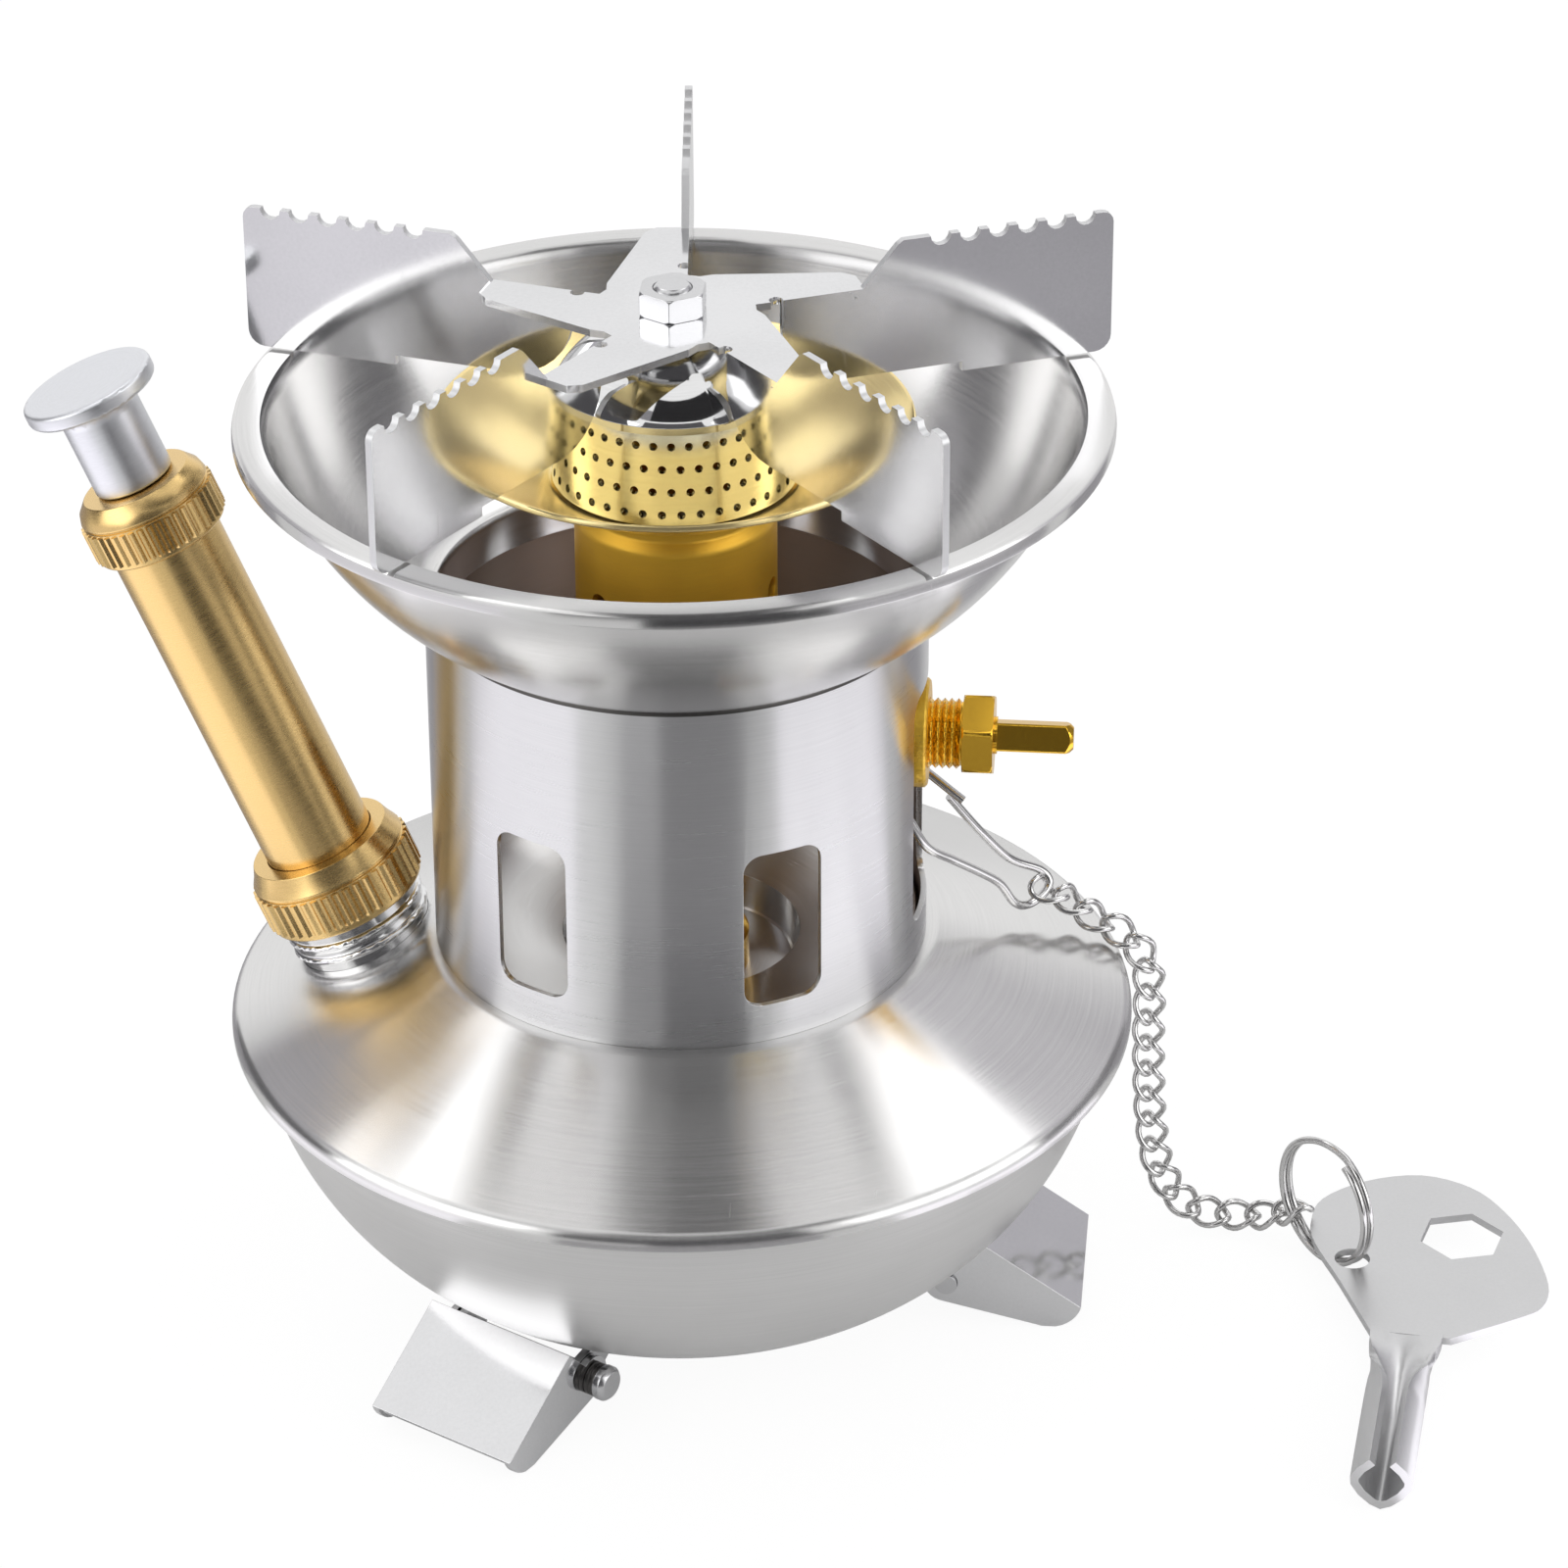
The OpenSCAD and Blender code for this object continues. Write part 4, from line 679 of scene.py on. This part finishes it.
class STOVE_OT_stage(Operator):
    """Sets the camera, the white surroundings, the floor, the lamps and the dark cards"""

    bl_idname = "stove.stage"
    bl_label = "Stage"

    def execute(self, context):
        s = context.scene.stove_stage
        context.scene.view_settings.view_transform = "Standard"
        self.camera(context, s)
        self.sky(context)
        self.floor(context, s)
        self.lamps(context, s)
        self.cards(s)
        return {"FINISHED"}

    def camera(self, context, s):
        flat = cos(s.elevation)
        way = Vector((flat * cos(s.plan), flat * sin(s.plan), sin(s.elevation)))
        seat = Vector(s.target) + way * s.distance
        alone()
        bpy.ops.object.camera_add(location=seat)
        camera = context.object
        camera.name = "photo_camera"
        look = (-way).to_track_quat("-Z", "Y").to_matrix().to_4x4()
        camera.matrix_world = Matrix.Translation(seat) @ look @ Matrix.Rotation(s.roll, 4, "Z")
        camera.data.sensor_width = 36.0
        camera.data.sensor_fit = "HORIZONTAL"
        camera.data.lens = s.lens
        context.scene.camera = camera

    def sky(self, context):
        """White where it is seen or mirrored, and a softer light elsewhere."""
        world = context.scene.world or bpy.data.worlds.new("white_room")
        context.scene.world = world
        tree = blank(world)
        path = put(tree, "ShaderNodeLightPath").outputs
        seen = sums(tree, "MAXIMUM", path["Is Camera Ray"], path["Is Glossy Ray"])
        seen = sums(tree, "MAXIMUM", seen, path["Is Transmission Ray"])
        strength = spread(tree, seen, 0.0, 1.0, SKY_LIGHT, 1.0)
        sky = put(tree, "ShaderNodeBackground", {"Color": (1.0, 1.0, 1.0, 1.0), "Strength": strength})
        put(tree, "ShaderNodeOutputWorld", {"Surface": sky.outputs[0]})

    def floor(self, context, s):
        """A matt floor that adds white of its own where it is seen."""
        alone()
        bpy.ops.mesh.primitive_plane_add(size=FLOOR_SIZE, location=(0.0, 0.0, -FLOOR_DROP))
        floor = context.object
        floor.name = "floor"
        pale = bpy.data.materials.new("pale_floor")
        tree = blank(pale)
        matt = put(tree, "ShaderNodeBsdfDiffuse", {"Color": (*s.floor, 1.0)})
        glow = put(tree, "ShaderNodeEmission", {"Color": (1.0, 1.0, 1.0, 1.0), "Strength": FLOOR_WHITE})
        path = put(tree, "ShaderNodeLightPath").outputs
        mirrored = sums(tree, "MAXIMUM", path["Is Glossy Ray"], path["Is Transmission Ray"])
        mirrored = sums(tree, "MULTIPLY", mirrored, FLOOR_MIRRORED)
        lit = sums(tree, "MAXIMUM", sums(tree, "MULTIPLY", path["Is Camera Ray"], FLOOR_SEEN), mirrored)
        both = put(tree, "ShaderNodeMixShader", {0: lit, 1: matt.outputs[0], 2: glow.outputs[0]})
        put(tree, "ShaderNodeOutputMaterial", {"Surface": both.outputs[0]})
        floor.data.materials.append(pale)

    def lamps(self, context, s):
        for name, turned, up, size in LAMPS:
            turned, up = s.plan + radians(turned), radians(up)
            way = Vector((cos(up) * cos(turned), cos(up) * sin(turned), sin(up)))
            bpy.ops.object.light_add(type="AREA", location=way * LAMP_REACH * MM)
            lamp = context.object
            lamp.name = name
            lamp.data.shape = "RECTANGLE"
            lamp.data.size, lamp.data.size_y = size
            lamp.data.energy = s.lamp_level * pi * size[0] * size[1]
            lamp.rotation_euler = (-way).to_track_quat("-Z", "Y").to_euler()

    def cards(self, s):
        lines = [arc(0, 0, CARD_REACH, low, high, 8) for _, _, low, high, _, _ in ROOM_CARDS]
        lines += [[(near, CARD_RISE), (far, CARD_RISE)] for _, _, near, far, _, _ in FLOOR_CARDS]
        for (name, shade, _, _, start, end), line in zip(ROOM_CARDS + FLOOR_CARDS, lines):
            first, sweep = s.plan + radians(start), radians(end - start)
            self.card(spun(name, line, 16, start=first, sweep=sweep), s, shade)
        alone()
        bpy.ops.mesh.primitive_plane_add(size=1.0)
        strip = bpy.context.object
        strip.name = "overhead_strip"
        place = Matrix.Translation(STRIP_PLACE) @ Matrix.Diagonal((*STRIP_SIZE, 1.0, 1.0))
        strip.data.transform(Matrix.Rotation(s.plan, 4, "Z") @ place)
        self.card(strip, s, STRIP_SHADE)

    def card(self, card, s, shade):
        """Gives a card its shade, and shows it to mirrors only."""
        dark = bpy.data.materials.new(card.name)
        tree = blank(dark)
        glow = put(tree, "ShaderNodeEmission", {"Color": (*s.card, 1.0), "Strength": shade})
        put(tree, "ShaderNodeOutputMaterial", {"Surface": glow.outputs[0]})
        card.data.materials.append(dark)
        for ray in ("camera", "diffuse", "shadow", "transmission", "volume_scatter"):
            setattr(card, "visible_" + ray, False)


# Chain: its route in millimetres, its links, and how they turn about the route, in degrees
CHAIN_ROUTE = [
    (46.4, 13.8, 53.8), (50.6, 15.6, 51.2), (54.2, 16.4, 48), (57.6, 15.9, 46.3), (60.6, 15.3, 43.6), (61.9, 15, 39.4),
    (62, 15, 32), (62.2, 15, 25), (62.6, 15, 18), (63.6, 15, 11), (65.6, 15, 6.2), (68.6, 15, 3), (72.4, 14.7, 2.2),
    (76.2, 14.6, 2.2), (79.4, 13.9, 2.9), (84.2, 12, 5.4),
]
CHAIN_LINKS, LINK_POINTS = 19, 32
LINK_END_TURN, LINK_TURN_DROP = 175.0, 85.0

# Split ring: its middle in millimetres, one direction of its plane, and its turns and their crossing in degrees
RING_MIDDLE, RING_ACROSS = (87.0, 7.4, 9.9), (0.637, -0.771, 0.0)
RING_POINTS, RING_START, RING_SWEEP, RING_PHASE = 162, 38.0, 644.0, 100.0
RING_CROSS_START, RING_CROSS_SWEEP, RING_GAP = 330.0, 60.0, 0.06

# Spring clip: its route in millimetres
CLIP_ROUTE = [
    (36.9, 6, 71.2), (33.6, 6.7, 73.6), (30.8, 7.3, 75.8), (28.4, 7.3, 79.4), (27, 6.8, 84.6), (27, 4.8, 89.4),
    (27, 0, 91.4), (27, -4.8, 89.4), (27, -6.8, 84.6), (28.4, -7.3, 79.4), (30.8, -7.3, 75.4), (33, -6.4, 71.1),
    (35.8, -2, 66.9), (39.4, 3, 62.1), (41.9, 6.5, 58.4), (43.7, 9, 54.2), (45.3, 11.6, 52.3), (47.3, 14, 52.6),
    (48.1, 15.4, 53.8), (46.8, 15.6, 55.5), (42.8, 13, 58.6), (39, 10.2, 64.2), (34.9, 8.7, 70.2),
]


def smoothed(route, steps):
    """A smooth line through a route in millimetres, as points in metres."""
    knots = [Vector(p) * MM for p in route]
    line = []
    for i in range(len(knots) - 1):
        a, b, c, d = knots[max(i - 1, 0)], knots[i], knots[i + 1], knots[min(i + 2, len(knots) - 1)]
        for k in range(steps):
            u = k / steps
            line.append((2 * b + (c - a) * u + (2 * a - 5 * b + 4 * c - d) * u**2 + (3 * b - 3 * c + d - a) * u**3) / 2)
    return line + [knots[-1]]


def spaced(line, count):
    """Middle points of equal stretches of a line, and its length."""
    runs = [0.0]
    for first, second in zip(line, line[1:]):
        runs.append(runs[-1] + (second - first).length)
    found = []
    for k in range(count):
        s = runs[-1] * (k + 0.5) / count
        i = next(i for i in range(len(runs) - 1) if s <= runs[i + 1])
        found.append(line[i].lerp(line[i + 1], (s - runs[i]) / (runs[i + 1] - runs[i])))
    return found, runs[-1]


class STOVE_OT_chain(Operator):
    """Models one twisted link, lays its copies along the chain's route, and makes the ring and the key"""

    bl_idname = "stove.chain"
    bl_label = "Chain, ring and key"

    def execute(self, context):
        t = context.scene.stove_tether
        ring = self.ring(t)
        key = dress("valve_key", "key", 0.22, 60.0, 40.0)
        chain, route, run = self.chain(t)
        return {"FINISHED"}

    def chain(self, t):
        route = smoothed(CHAIN_ROUTE, 6)
        places, run = spaced(route, CHAIN_LINKS)
        last = CHAIN_LINKS - 1
        line = []
        for i in range(LINK_POINTS):
            a = tau * i / LINK_POINTS
            twist = t.link_twist * sin(a)
            wide = t.link_half_width * cos(a)
            line.append(Vector((wide * cos(twist), t.link_half_length * sin(a), wide * sin(twist))))
        first = wire("chain_piece", line, t.link_wire, closed=True, sides=3)
        carried = Vector((0.0, 1.0, 0.0))
        seats = []
        for i, place in enumerate(places):
            y = (places[min(i + 1, last)] - places[max(i - 1, 0)]).normalized()
            carried = (carried - y * carried.dot(y)).normalized()
            turned = radians(LINK_END_TURN - LINK_TURN_DROP * sin(pi * i / last))
            x = carried * cos(turned) + carried.cross(y) * sin(turned)
            seat = Matrix((x, y, x.cross(y))).transposed().to_4x4()
            seat.translation = place
            seats.append(seat)
        return fit(smooth(repeated(first, seats), 60.0), "nickel", "chain"), route, run

    def ring(self, t):
        middle = Vector(RING_MIDDLE) * MM
        across, up = Vector(RING_ACROSS), Vector((0.0, 0.0, 1.0))
        side = across.cross(up)
        line = []
        for k in range(RING_POINTS):
            a = RING_START + RING_SWEEP * k / (RING_POINTS - 1)
            q = radians(a + RING_PHASE)
            crossed = min(max((a - RING_CROSS_START) / RING_CROSS_SWEEP, 0.0), 1.0)
            shift = (t.ring_wire + RING_GAP * MM) * (crossed - 0.5)
            line.append(middle + t.ring_radius * (cos(q) * across + sin(q) * up) + shift * side)
        return fit(smooth(wire("split_ring_piece", line, t.ring_wire, sides=3), 60.0), "nickel", "split_ring")


class STOVE_OT_clip(Operator):
    """Bends the spring clip that holds the chain"""

    bl_idname = "stove.clip"
    bl_label = "Wire clip"

    def execute(self, context):
        line = smoothed(CLIP_ROUTE, 8)
        piece = wire("wire_clip_piece", line, context.scene.stove_tether.clip_wire, sides=3)
        fit(smooth(piece, 60.0), "nickel", "wire_clip")
        return {"FINISHED"}


class STOVE_OT_tank(Operator):
    """Spins both tank shells and cuts the filler hole"""

    bl_idname = "stove.tank"
    bl_label = "Tank"

    def execute(self, context):
        s, b = context.scene.stove_shell, context.scene.stove_burner
        foot, lean = pump_seat()
        upper = spun("tank_top", tank_line(), 160, wall=s.tank_sheet / MM)
        axis = (sin(lean), 0.0, cos(lean))
        cut(upper, plug("filler_hole", foot, axis, b.filler_radius / MM + 0.05, -6, 6, 96))
        ease(upper, 0.15, 50.0)
        fit(smooth(upper), "tank", "tank_upper_shell")
        lower = spun("tank_base", base_line(), 160, wall=s.tank_sheet / MM)
        fit(smooth(lower), "base", "tank_lower_shell")
        return {"FINISHED"}


# Neck: number of windows with the slot, depth of their cutter, and height of the seam under the bowl, whose faces get
# painted shade, in millimetres
WINDOWS, WINDOW_DEPTH, SEAM = 6, 12.0, 0.8


class STOVE_OT_neck(Operator):
    """Spins the neck shield and the wind bowl and cuts the windows"""

    bl_idname = "stove.neck"
    bl_label = "Neck and bowl"

    def execute(self, context):
        s = context.scene.stove_shell
        outer, inner, top = s.neck_radius / MM, (s.neck_radius - s.neck_sheet) / MM, s.neck_top / MM
        land = max(h for r, h in tank_line() if r > outer) + s.tank_sheet / MM / 2
        edge = [(outer, top - SEAM), (outer - 0.3, top - 0.3), (outer - 0.55, top)]
        neck = spun("neck", [(inner, land), (outer, land), *edge, (inner, top), (inner, land)], 192)
        for i in range(WINDOWS):
            wide, tall = (s.slot_width, s.slot_height) if i == 0 else (s.window_width, s.window_height)
            cut(neck, self.window(s, wide, tall, radians(360 / WINDOWS * i)))
        ease(neck, 0.12, 50.0)
        fit(smooth(neck), "neck", "neck_shield")
        # The neck's rounded top edge under the bowl gets the dark washer steel as painted shade of the gap between neck
        # and bowl
        seam = s.neck_top - SEAM * MM
        second_finish(neck, "inside", lambda face: face.center.xy.dot(face.normal.xy) < -0.02)
        second_finish(neck, "washer", lambda face: face.center.z > seam and face.normal.z > 0.2)
        bowl = spun("bowl", bowl_line(), 160, wall=s.bowl_sheet / MM)
        ease(bowl, 0.12, 50.0)
        fit(smooth(bowl), "bowl", "wind_bowl")
        return {"FINISHED"}

    def window(self, s, wide, tall, angle):
        """A cutter with round corners for one window."""
        alone()
        bpy.ops.mesh.primitive_cube_add(size=1.0)
        block = bpy.context.object
        block.scale = (WINDOW_DEPTH * MM, wide, tall)
        bpy.ops.object.transform_apply(location=False, rotation=False, scale=True)
        mode("EDIT")
        bpy.ops.mesh.select_all(action="DESELECT")
        mode("OBJECT")
        for edge in block.data.edges:
            a, b = (block.data.vertices[i].co for i in edge.vertices)
            edge.select = abs(a.x - b.x) > WINDOW_DEPTH / 2 * MM
        mode("EDIT")
        bpy.ops.mesh.select_mode(type="EDGE")
        bpy.ops.mesh.bevel(offset=s.window_corner, segments=8)
        bpy.ops.mesh.select_mode(type="VERT")
        mode("OBJECT")
        spin = Matrix.Rotation(angle, 4, "Z")
        block.data.transform(spin @ Matrix.Translation((s.neck_radius, 0.0, s.sill + tall / 2)))
        return block


# Cup: air holes, their turn in degrees, their height and radius in millimetres
AIR_HOLES, AIR_TURN, AIR_HEIGHT, AIR_RADIUS = 6, 17, 106.5, 1.5

# Flame cone: rows, holes in a row, radius of a hole, height of the first row and step between rows, in millimetres
FLAME_ROWS, FLAME_HOLES, FLAME_RADIUS, FLAME_FIRST, FLAME_STEP = 4, 40, 0.525, 122.82, 2.95


class STOVE_OT_burner(Operator):
    """Spins the mixing cup, the saucer, the flame cone and the dome, and dresses the stud and its nut"""

    bl_idname = "stove.burner"
    bl_label = "Burner"

    def execute(self, context):
        b = context.scene.stove_burner
        self.cup(b)
        self.saucer(b)
        self.cone()
        wide = b.dome_radius / MM - 0.4
        dome = spun("dome", [(wide, 133.6), (wide, 134.5)] + arc(0, 124.84, 17.56, 33.8, 81.75, 24), 128, wall=0.8)
        ease(dome, 0.15, 50.0)
        fit(smooth(dome), "chrome", "dome_cap")
        dress("centre_stud", "zinc", 0.12)
        dress("stud_nut", "zinc", 0.12)
        return {"FINISHED"}

    def cup(self, b):
        wall, throat = b.cup_radius / MM - 0.45, 11.3
        line = [(6.5, 92.8), (6.5, 97.0), (6.7, 97.2), (wall - 1, 97.2), (wall - 0.3, 97.5), (wall, 98.2), (wall, 115)]
        line += [(wall - 0.3, 115.7), (throat + 0.3, 116.5), (throat, 117.1), (throat, 119.4), (throat + 0.35, 119.75)]
        cup = spun("mixing_cup_piece", line + [(throat + 3.2, 119.75)], 128, wall=0.9)
        for i in range(AIR_HOLES):
            way = radians(360 / AIR_HOLES * (i + 0.5) + AIR_TURN)
            out = (cos(way), sin(way), 0)
            cut(cup, plug("air_hole", (0, 0, AIR_HEIGHT * MM), out, AIR_RADIUS, 9, 17, 32))
        ease(cup, 0.12, 50.0)
        fit(smooth(cup), "cup", "mixing_cup")

    def saucer(self, b):
        edge = b.saucer_radius / MM
        line = [(11.6, 120.6), (15.7, 120.6), (16.4, 120.85), (edge - 1.2, 128.1), (edge - 0.5, 128.45), (edge, 128.6)]
        saucer = spun("saucer", line, 160, wall=0.8)
        ease(saucer, 0.2, 50.0, 3)
        fit(smooth(saucer), "saucer", "flame_saucer")

    def cone(self):
        line = [(12.8, 121.42), (14.9, 121.42), (15.3, 121.6)]
        line += [(15.4 - 1.9 * k / 16, 121.42 + 12.88 * k / 16) for k in range(1, 17)]
        cone = spun("flame_cone", line, 160, wall=0.8)
        places = []
        for row in range(FLAME_ROWS):
            up = Matrix.Translation((0, 0, (FLAME_FIRST + FLAME_STEP * row) * MM))
            for i in range(FLAME_HOLES):
                way = Matrix.Rotation(radians(360 / FLAME_HOLES * (i + row % 2 / 2)), 4, "Z")
                places.append(way @ up)
        drill = plug("flame_holes", (0, 0, 0), (1, 0, 0), FLAME_RADIUS, 12, 17, 16)
        cut(cone, repeated(drill, places))
        fit(smooth(cone, 30.0), "cone", "perforated_cone")


# Plan angle of the first blade, and the heights between which the star's flat faces lie
BLADE_START = radians(23.0)
STAR_LOW, STAR_HIGH = 142.0 * MM, 144.2 * MM


class STOVE_OT_pot_support(Operator):
    """Eases the edges of the star and its five serrated blades"""

    bl_idname = "stove.pot_support"
    bl_label = "Pot support"

    def execute(self, context):
        support = dress("pot_support", "sheet", 0.16, 50.0, 30.0)
        second_finish(support, "edge", self.sheared)
        return {"FINISHED"}

    def sheared(self, face):
        """Whether a face is on the cut edge of a blade."""
        fifth = tau / 5
        blade = BLADE_START + fifth * round((atan2(face.center.y, face.center.x) - BLADE_START) / fifth)
        across = Vector((-sin(blade), cos(blade), 0.0))
        in_star = abs(face.normal.z) > 0.9 and STAR_LOW < face.center.z < STAR_HIGH
        return not in_star and abs(face.normal.dot(across)) < 0.4


class STOVE_OT_feet(Operator):
    """Eases the feet and dresses their brackets, pins and washers"""

    bl_idname = "stove.feet"
    bl_label = "Feet"

    def execute(self, context):
        for side in ("right", "rear", "front"):
            dress("foot_" + side, "sheet", 0.3, 40.0, 30.0)
        dress("hinge_brackets", "zinc", 0.15)
        dress("hinge_pins", "zinc", 0.12)
        dress("hinge_washers", "washer", 0.1)
        return {"FINISHED"}


class STOVE_OT_valve(Operator):
    """Dresses the vaporizer, the gland nut, the spindle and the jet"""

    bl_idname = "stove.valve"
    bl_label = "Valve"

    def execute(self, context):
        start = context.scene.stove_burner.flange_start
        body = dress("vaporizer_body", "valve", 0.12)
        second_finish(body, "cast", lambda face: face.center.x > start - 0.2 * MM)
        dress("gland_nut", "valve", 0.0, round_angle=20.0, flat=0.0)
        dress("valve_spindle", "valve", 0.1)
        dress("jet_nozzle", "valve", 0.1)
        return {"FINISHED"}


class STOVE_OT_pump(Operator):
    """Spins and knurls the pump's nut and cap, and dresses its barrel, knob and filler neck"""

    bl_idname = "stove.pump"
    bl_label = "Pump"

    def execute(self, context):
        b = context.scene.stove_burner
        filler, barrel = b.filler_radius / MM + 0.1, b.barrel_radius / MM + 0.1
        dress("filler_neck", "filler", 0.15)
        nut = [(filler, 6.0), (10.4, 6.0), (10.7, 6.3), (10.7, 12.15), (10.4, 12.25), (10.4, 12.45), (10.7, 12.55)]
        nut += [(10.7, 12.75), (10.1, 13.85), (9.5, 15.35), (barrel, 15.35), (barrel, 12.75), (filler, 12.75)]
        self.knurled("pump_nut", nut, 11.1, 7.0, 11.95)
        dress("pump_barrel", "barrel", 0.12)
        cap = [(barrel - 0.08, 63.5), (8.5, 63.5), (8.8, 63.8), (8.8, 68.95), (8.5, 69.05), (8.5, 69.25), (8.8, 69.35)]
        cap += [(8.8, 69.6), (8.5, 70.6), (7.3, 72.0), (2.06, 72.0), (2.06, 66.02), (barrel - 0.08, 66.02)]
        self.knurled("pump_cap", cap, 9.2, 64.3, 68.7)
        dress("plunger_knob", "knob", 0.15)
        dress("plunger_rod", "zinc", 0.0)
        return {"FINISHED"}

    def knurled(self, node, line, radius, low, high):
        """A body spun about the pump's axis with a ring of teeth from low to high, in millimetres."""
        foot, lean = pump_seat()
        body = spun(node + "_piece", line + line[:1], 128, foot, lean)
        ease(body, 0.1, 25.0)
        ring = self.teeth(radius, high - low)
        tilt = Matrix.Rotation(lean, 4, "Y")
        ring.data.transform(Matrix.Translation(foot) @ tilt @ Matrix.Translation((0.0, 0.0, (low + high) / 2 * MM)))
        alone(body)
        ring.select_set(True)
        bpy.ops.object.join()
        fit(smooth(body, 28.0), "knurl", node)

    def teeth(self, radius, tall, count=44, depth=0.4):
        """A ring of straight teeth whose ends close inwards."""
        alone()
        bpy.ops.mesh.primitive_cylinder_add(
            vertices=4 * count, radius=radius * MM, depth=tall * MM, end_fill_type="NOTHING", location=(0, 0, 0)
        )
        ring = bpy.context.object
        mode("EDIT")
        bpy.ops.mesh.select_all(action="DESELECT")
        mode("OBJECT")
        for vertex in ring.data.vertices:
            vertex.select = round(atan2(vertex.co.y, vertex.co.x) / tau * 4 * count) % 4 < 2
        mode("EDIT")
        inner = 1 - depth / radius
        bpy.ops.transform.resize(value=(inner, inner, 1.0), center_override=(0, 0, 0))
        bpy.ops.mesh.select_all(action="DESELECT")
        bpy.ops.mesh.select_non_manifold()
        bpy.ops.mesh.extrude_edges_move()
        bpy.ops.transform.resize(value=(0.93, 0.93, 1.0), center_override=(0, 0, 0))
        bpy.ops.mesh.select_all(action="SELECT")
        bpy.ops.mesh.normals_make_consistent(inside=False)
        mode("OBJECT")
        return ring


class STOVE_OT_inside(Operator):
    """Gives the pieces inside the tank and the pump their finishes, and dresses the check valve's spring"""

    bl_idname = "stove.inside"
    bl_label = "Inside"

    def execute(self, context):
        for finish, nodes in {
            "barrel": ("check_valve_body", "pickup_tube", "needle_rack"),
            "zinc": ("piston_hardware",),
            "rubber": ("filler_gasket", "gland_packing", "check_valve_pad"),
            "leather": ("piston_cup",),
            "cotton": ("wick",),
        }.items():
            for node in nodes:
                data = frame["nodes"][node].data
                data.materials.clear()
                data.materials.append(finishes()[finish])
        self.spring(context.scene.stove_burner.pad_travel)
        return {"FINISHED"}

    def spring(self, travel):
        """The check valve's spring, dressed with a mesh of its own."""
        piece = dress("check_valve_spring", "zinc", 0.0, round_angle=60.0)
        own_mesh(piece)


class STOVE_PT_panel(Panel):
    """Lists the steps that build the stove"""

    bl_idname = "STOVE_PT_panel"
    bl_label = "Camping stove"
    bl_space_type = "VIEW_3D"
    bl_region_type = "UI"
    bl_category = "Stove"

    def draw(self, context):
        for step in STEPS:
            self.layout.operator(step.bl_idname)
        for name in GROUPS:
            group = getattr(context.scene, name)
            box = self.layout.box()
            for key in group.bl_rna.properties.keys():
                if key not in ("rna_type", "name"):
                    box.prop(group, key)


GROUPS = {
    "stove_shell": StoveShellSizes,
    "stove_burner": StoveBurnerSizes,
    "stove_tether": StoveTetherSizes,
    "stove_colours": StoveColours,
    "stove_stage": StoveStage,
}
STEPS = (
    STOVE_OT_stage,
    STOVE_OT_chain,
    STOVE_OT_clip,
    STOVE_OT_tank,
    STOVE_OT_neck,
    STOVE_OT_burner,
    STOVE_OT_pot_support,
    STOVE_OT_feet,
    STOVE_OT_valve,
    STOVE_OT_pump,
    STOVE_OT_inside,
)


def register():
    for part in (*GROUPS.values(), *STEPS, STOVE_PT_panel):
        bpy.utils.register_class(part)
    for name, group in GROUPS.items():
        setattr(bpy.types.Scene, name, PointerProperty(type=group))


def unregister():
    for name in GROUPS:
        delattr(bpy.types.Scene, name)
    for part in (STOVE_PT_panel, *reversed(STEPS), *reversed(tuple(GROUPS.values()))):
        bpy.utils.unregister_class(part)


def main():
    register()
    for step in STEPS:
        group, name = step.bl_idname.split(".")
        getattr(getattr(bpy.ops, group), name)()


if __name__ == "__main__":
    main()
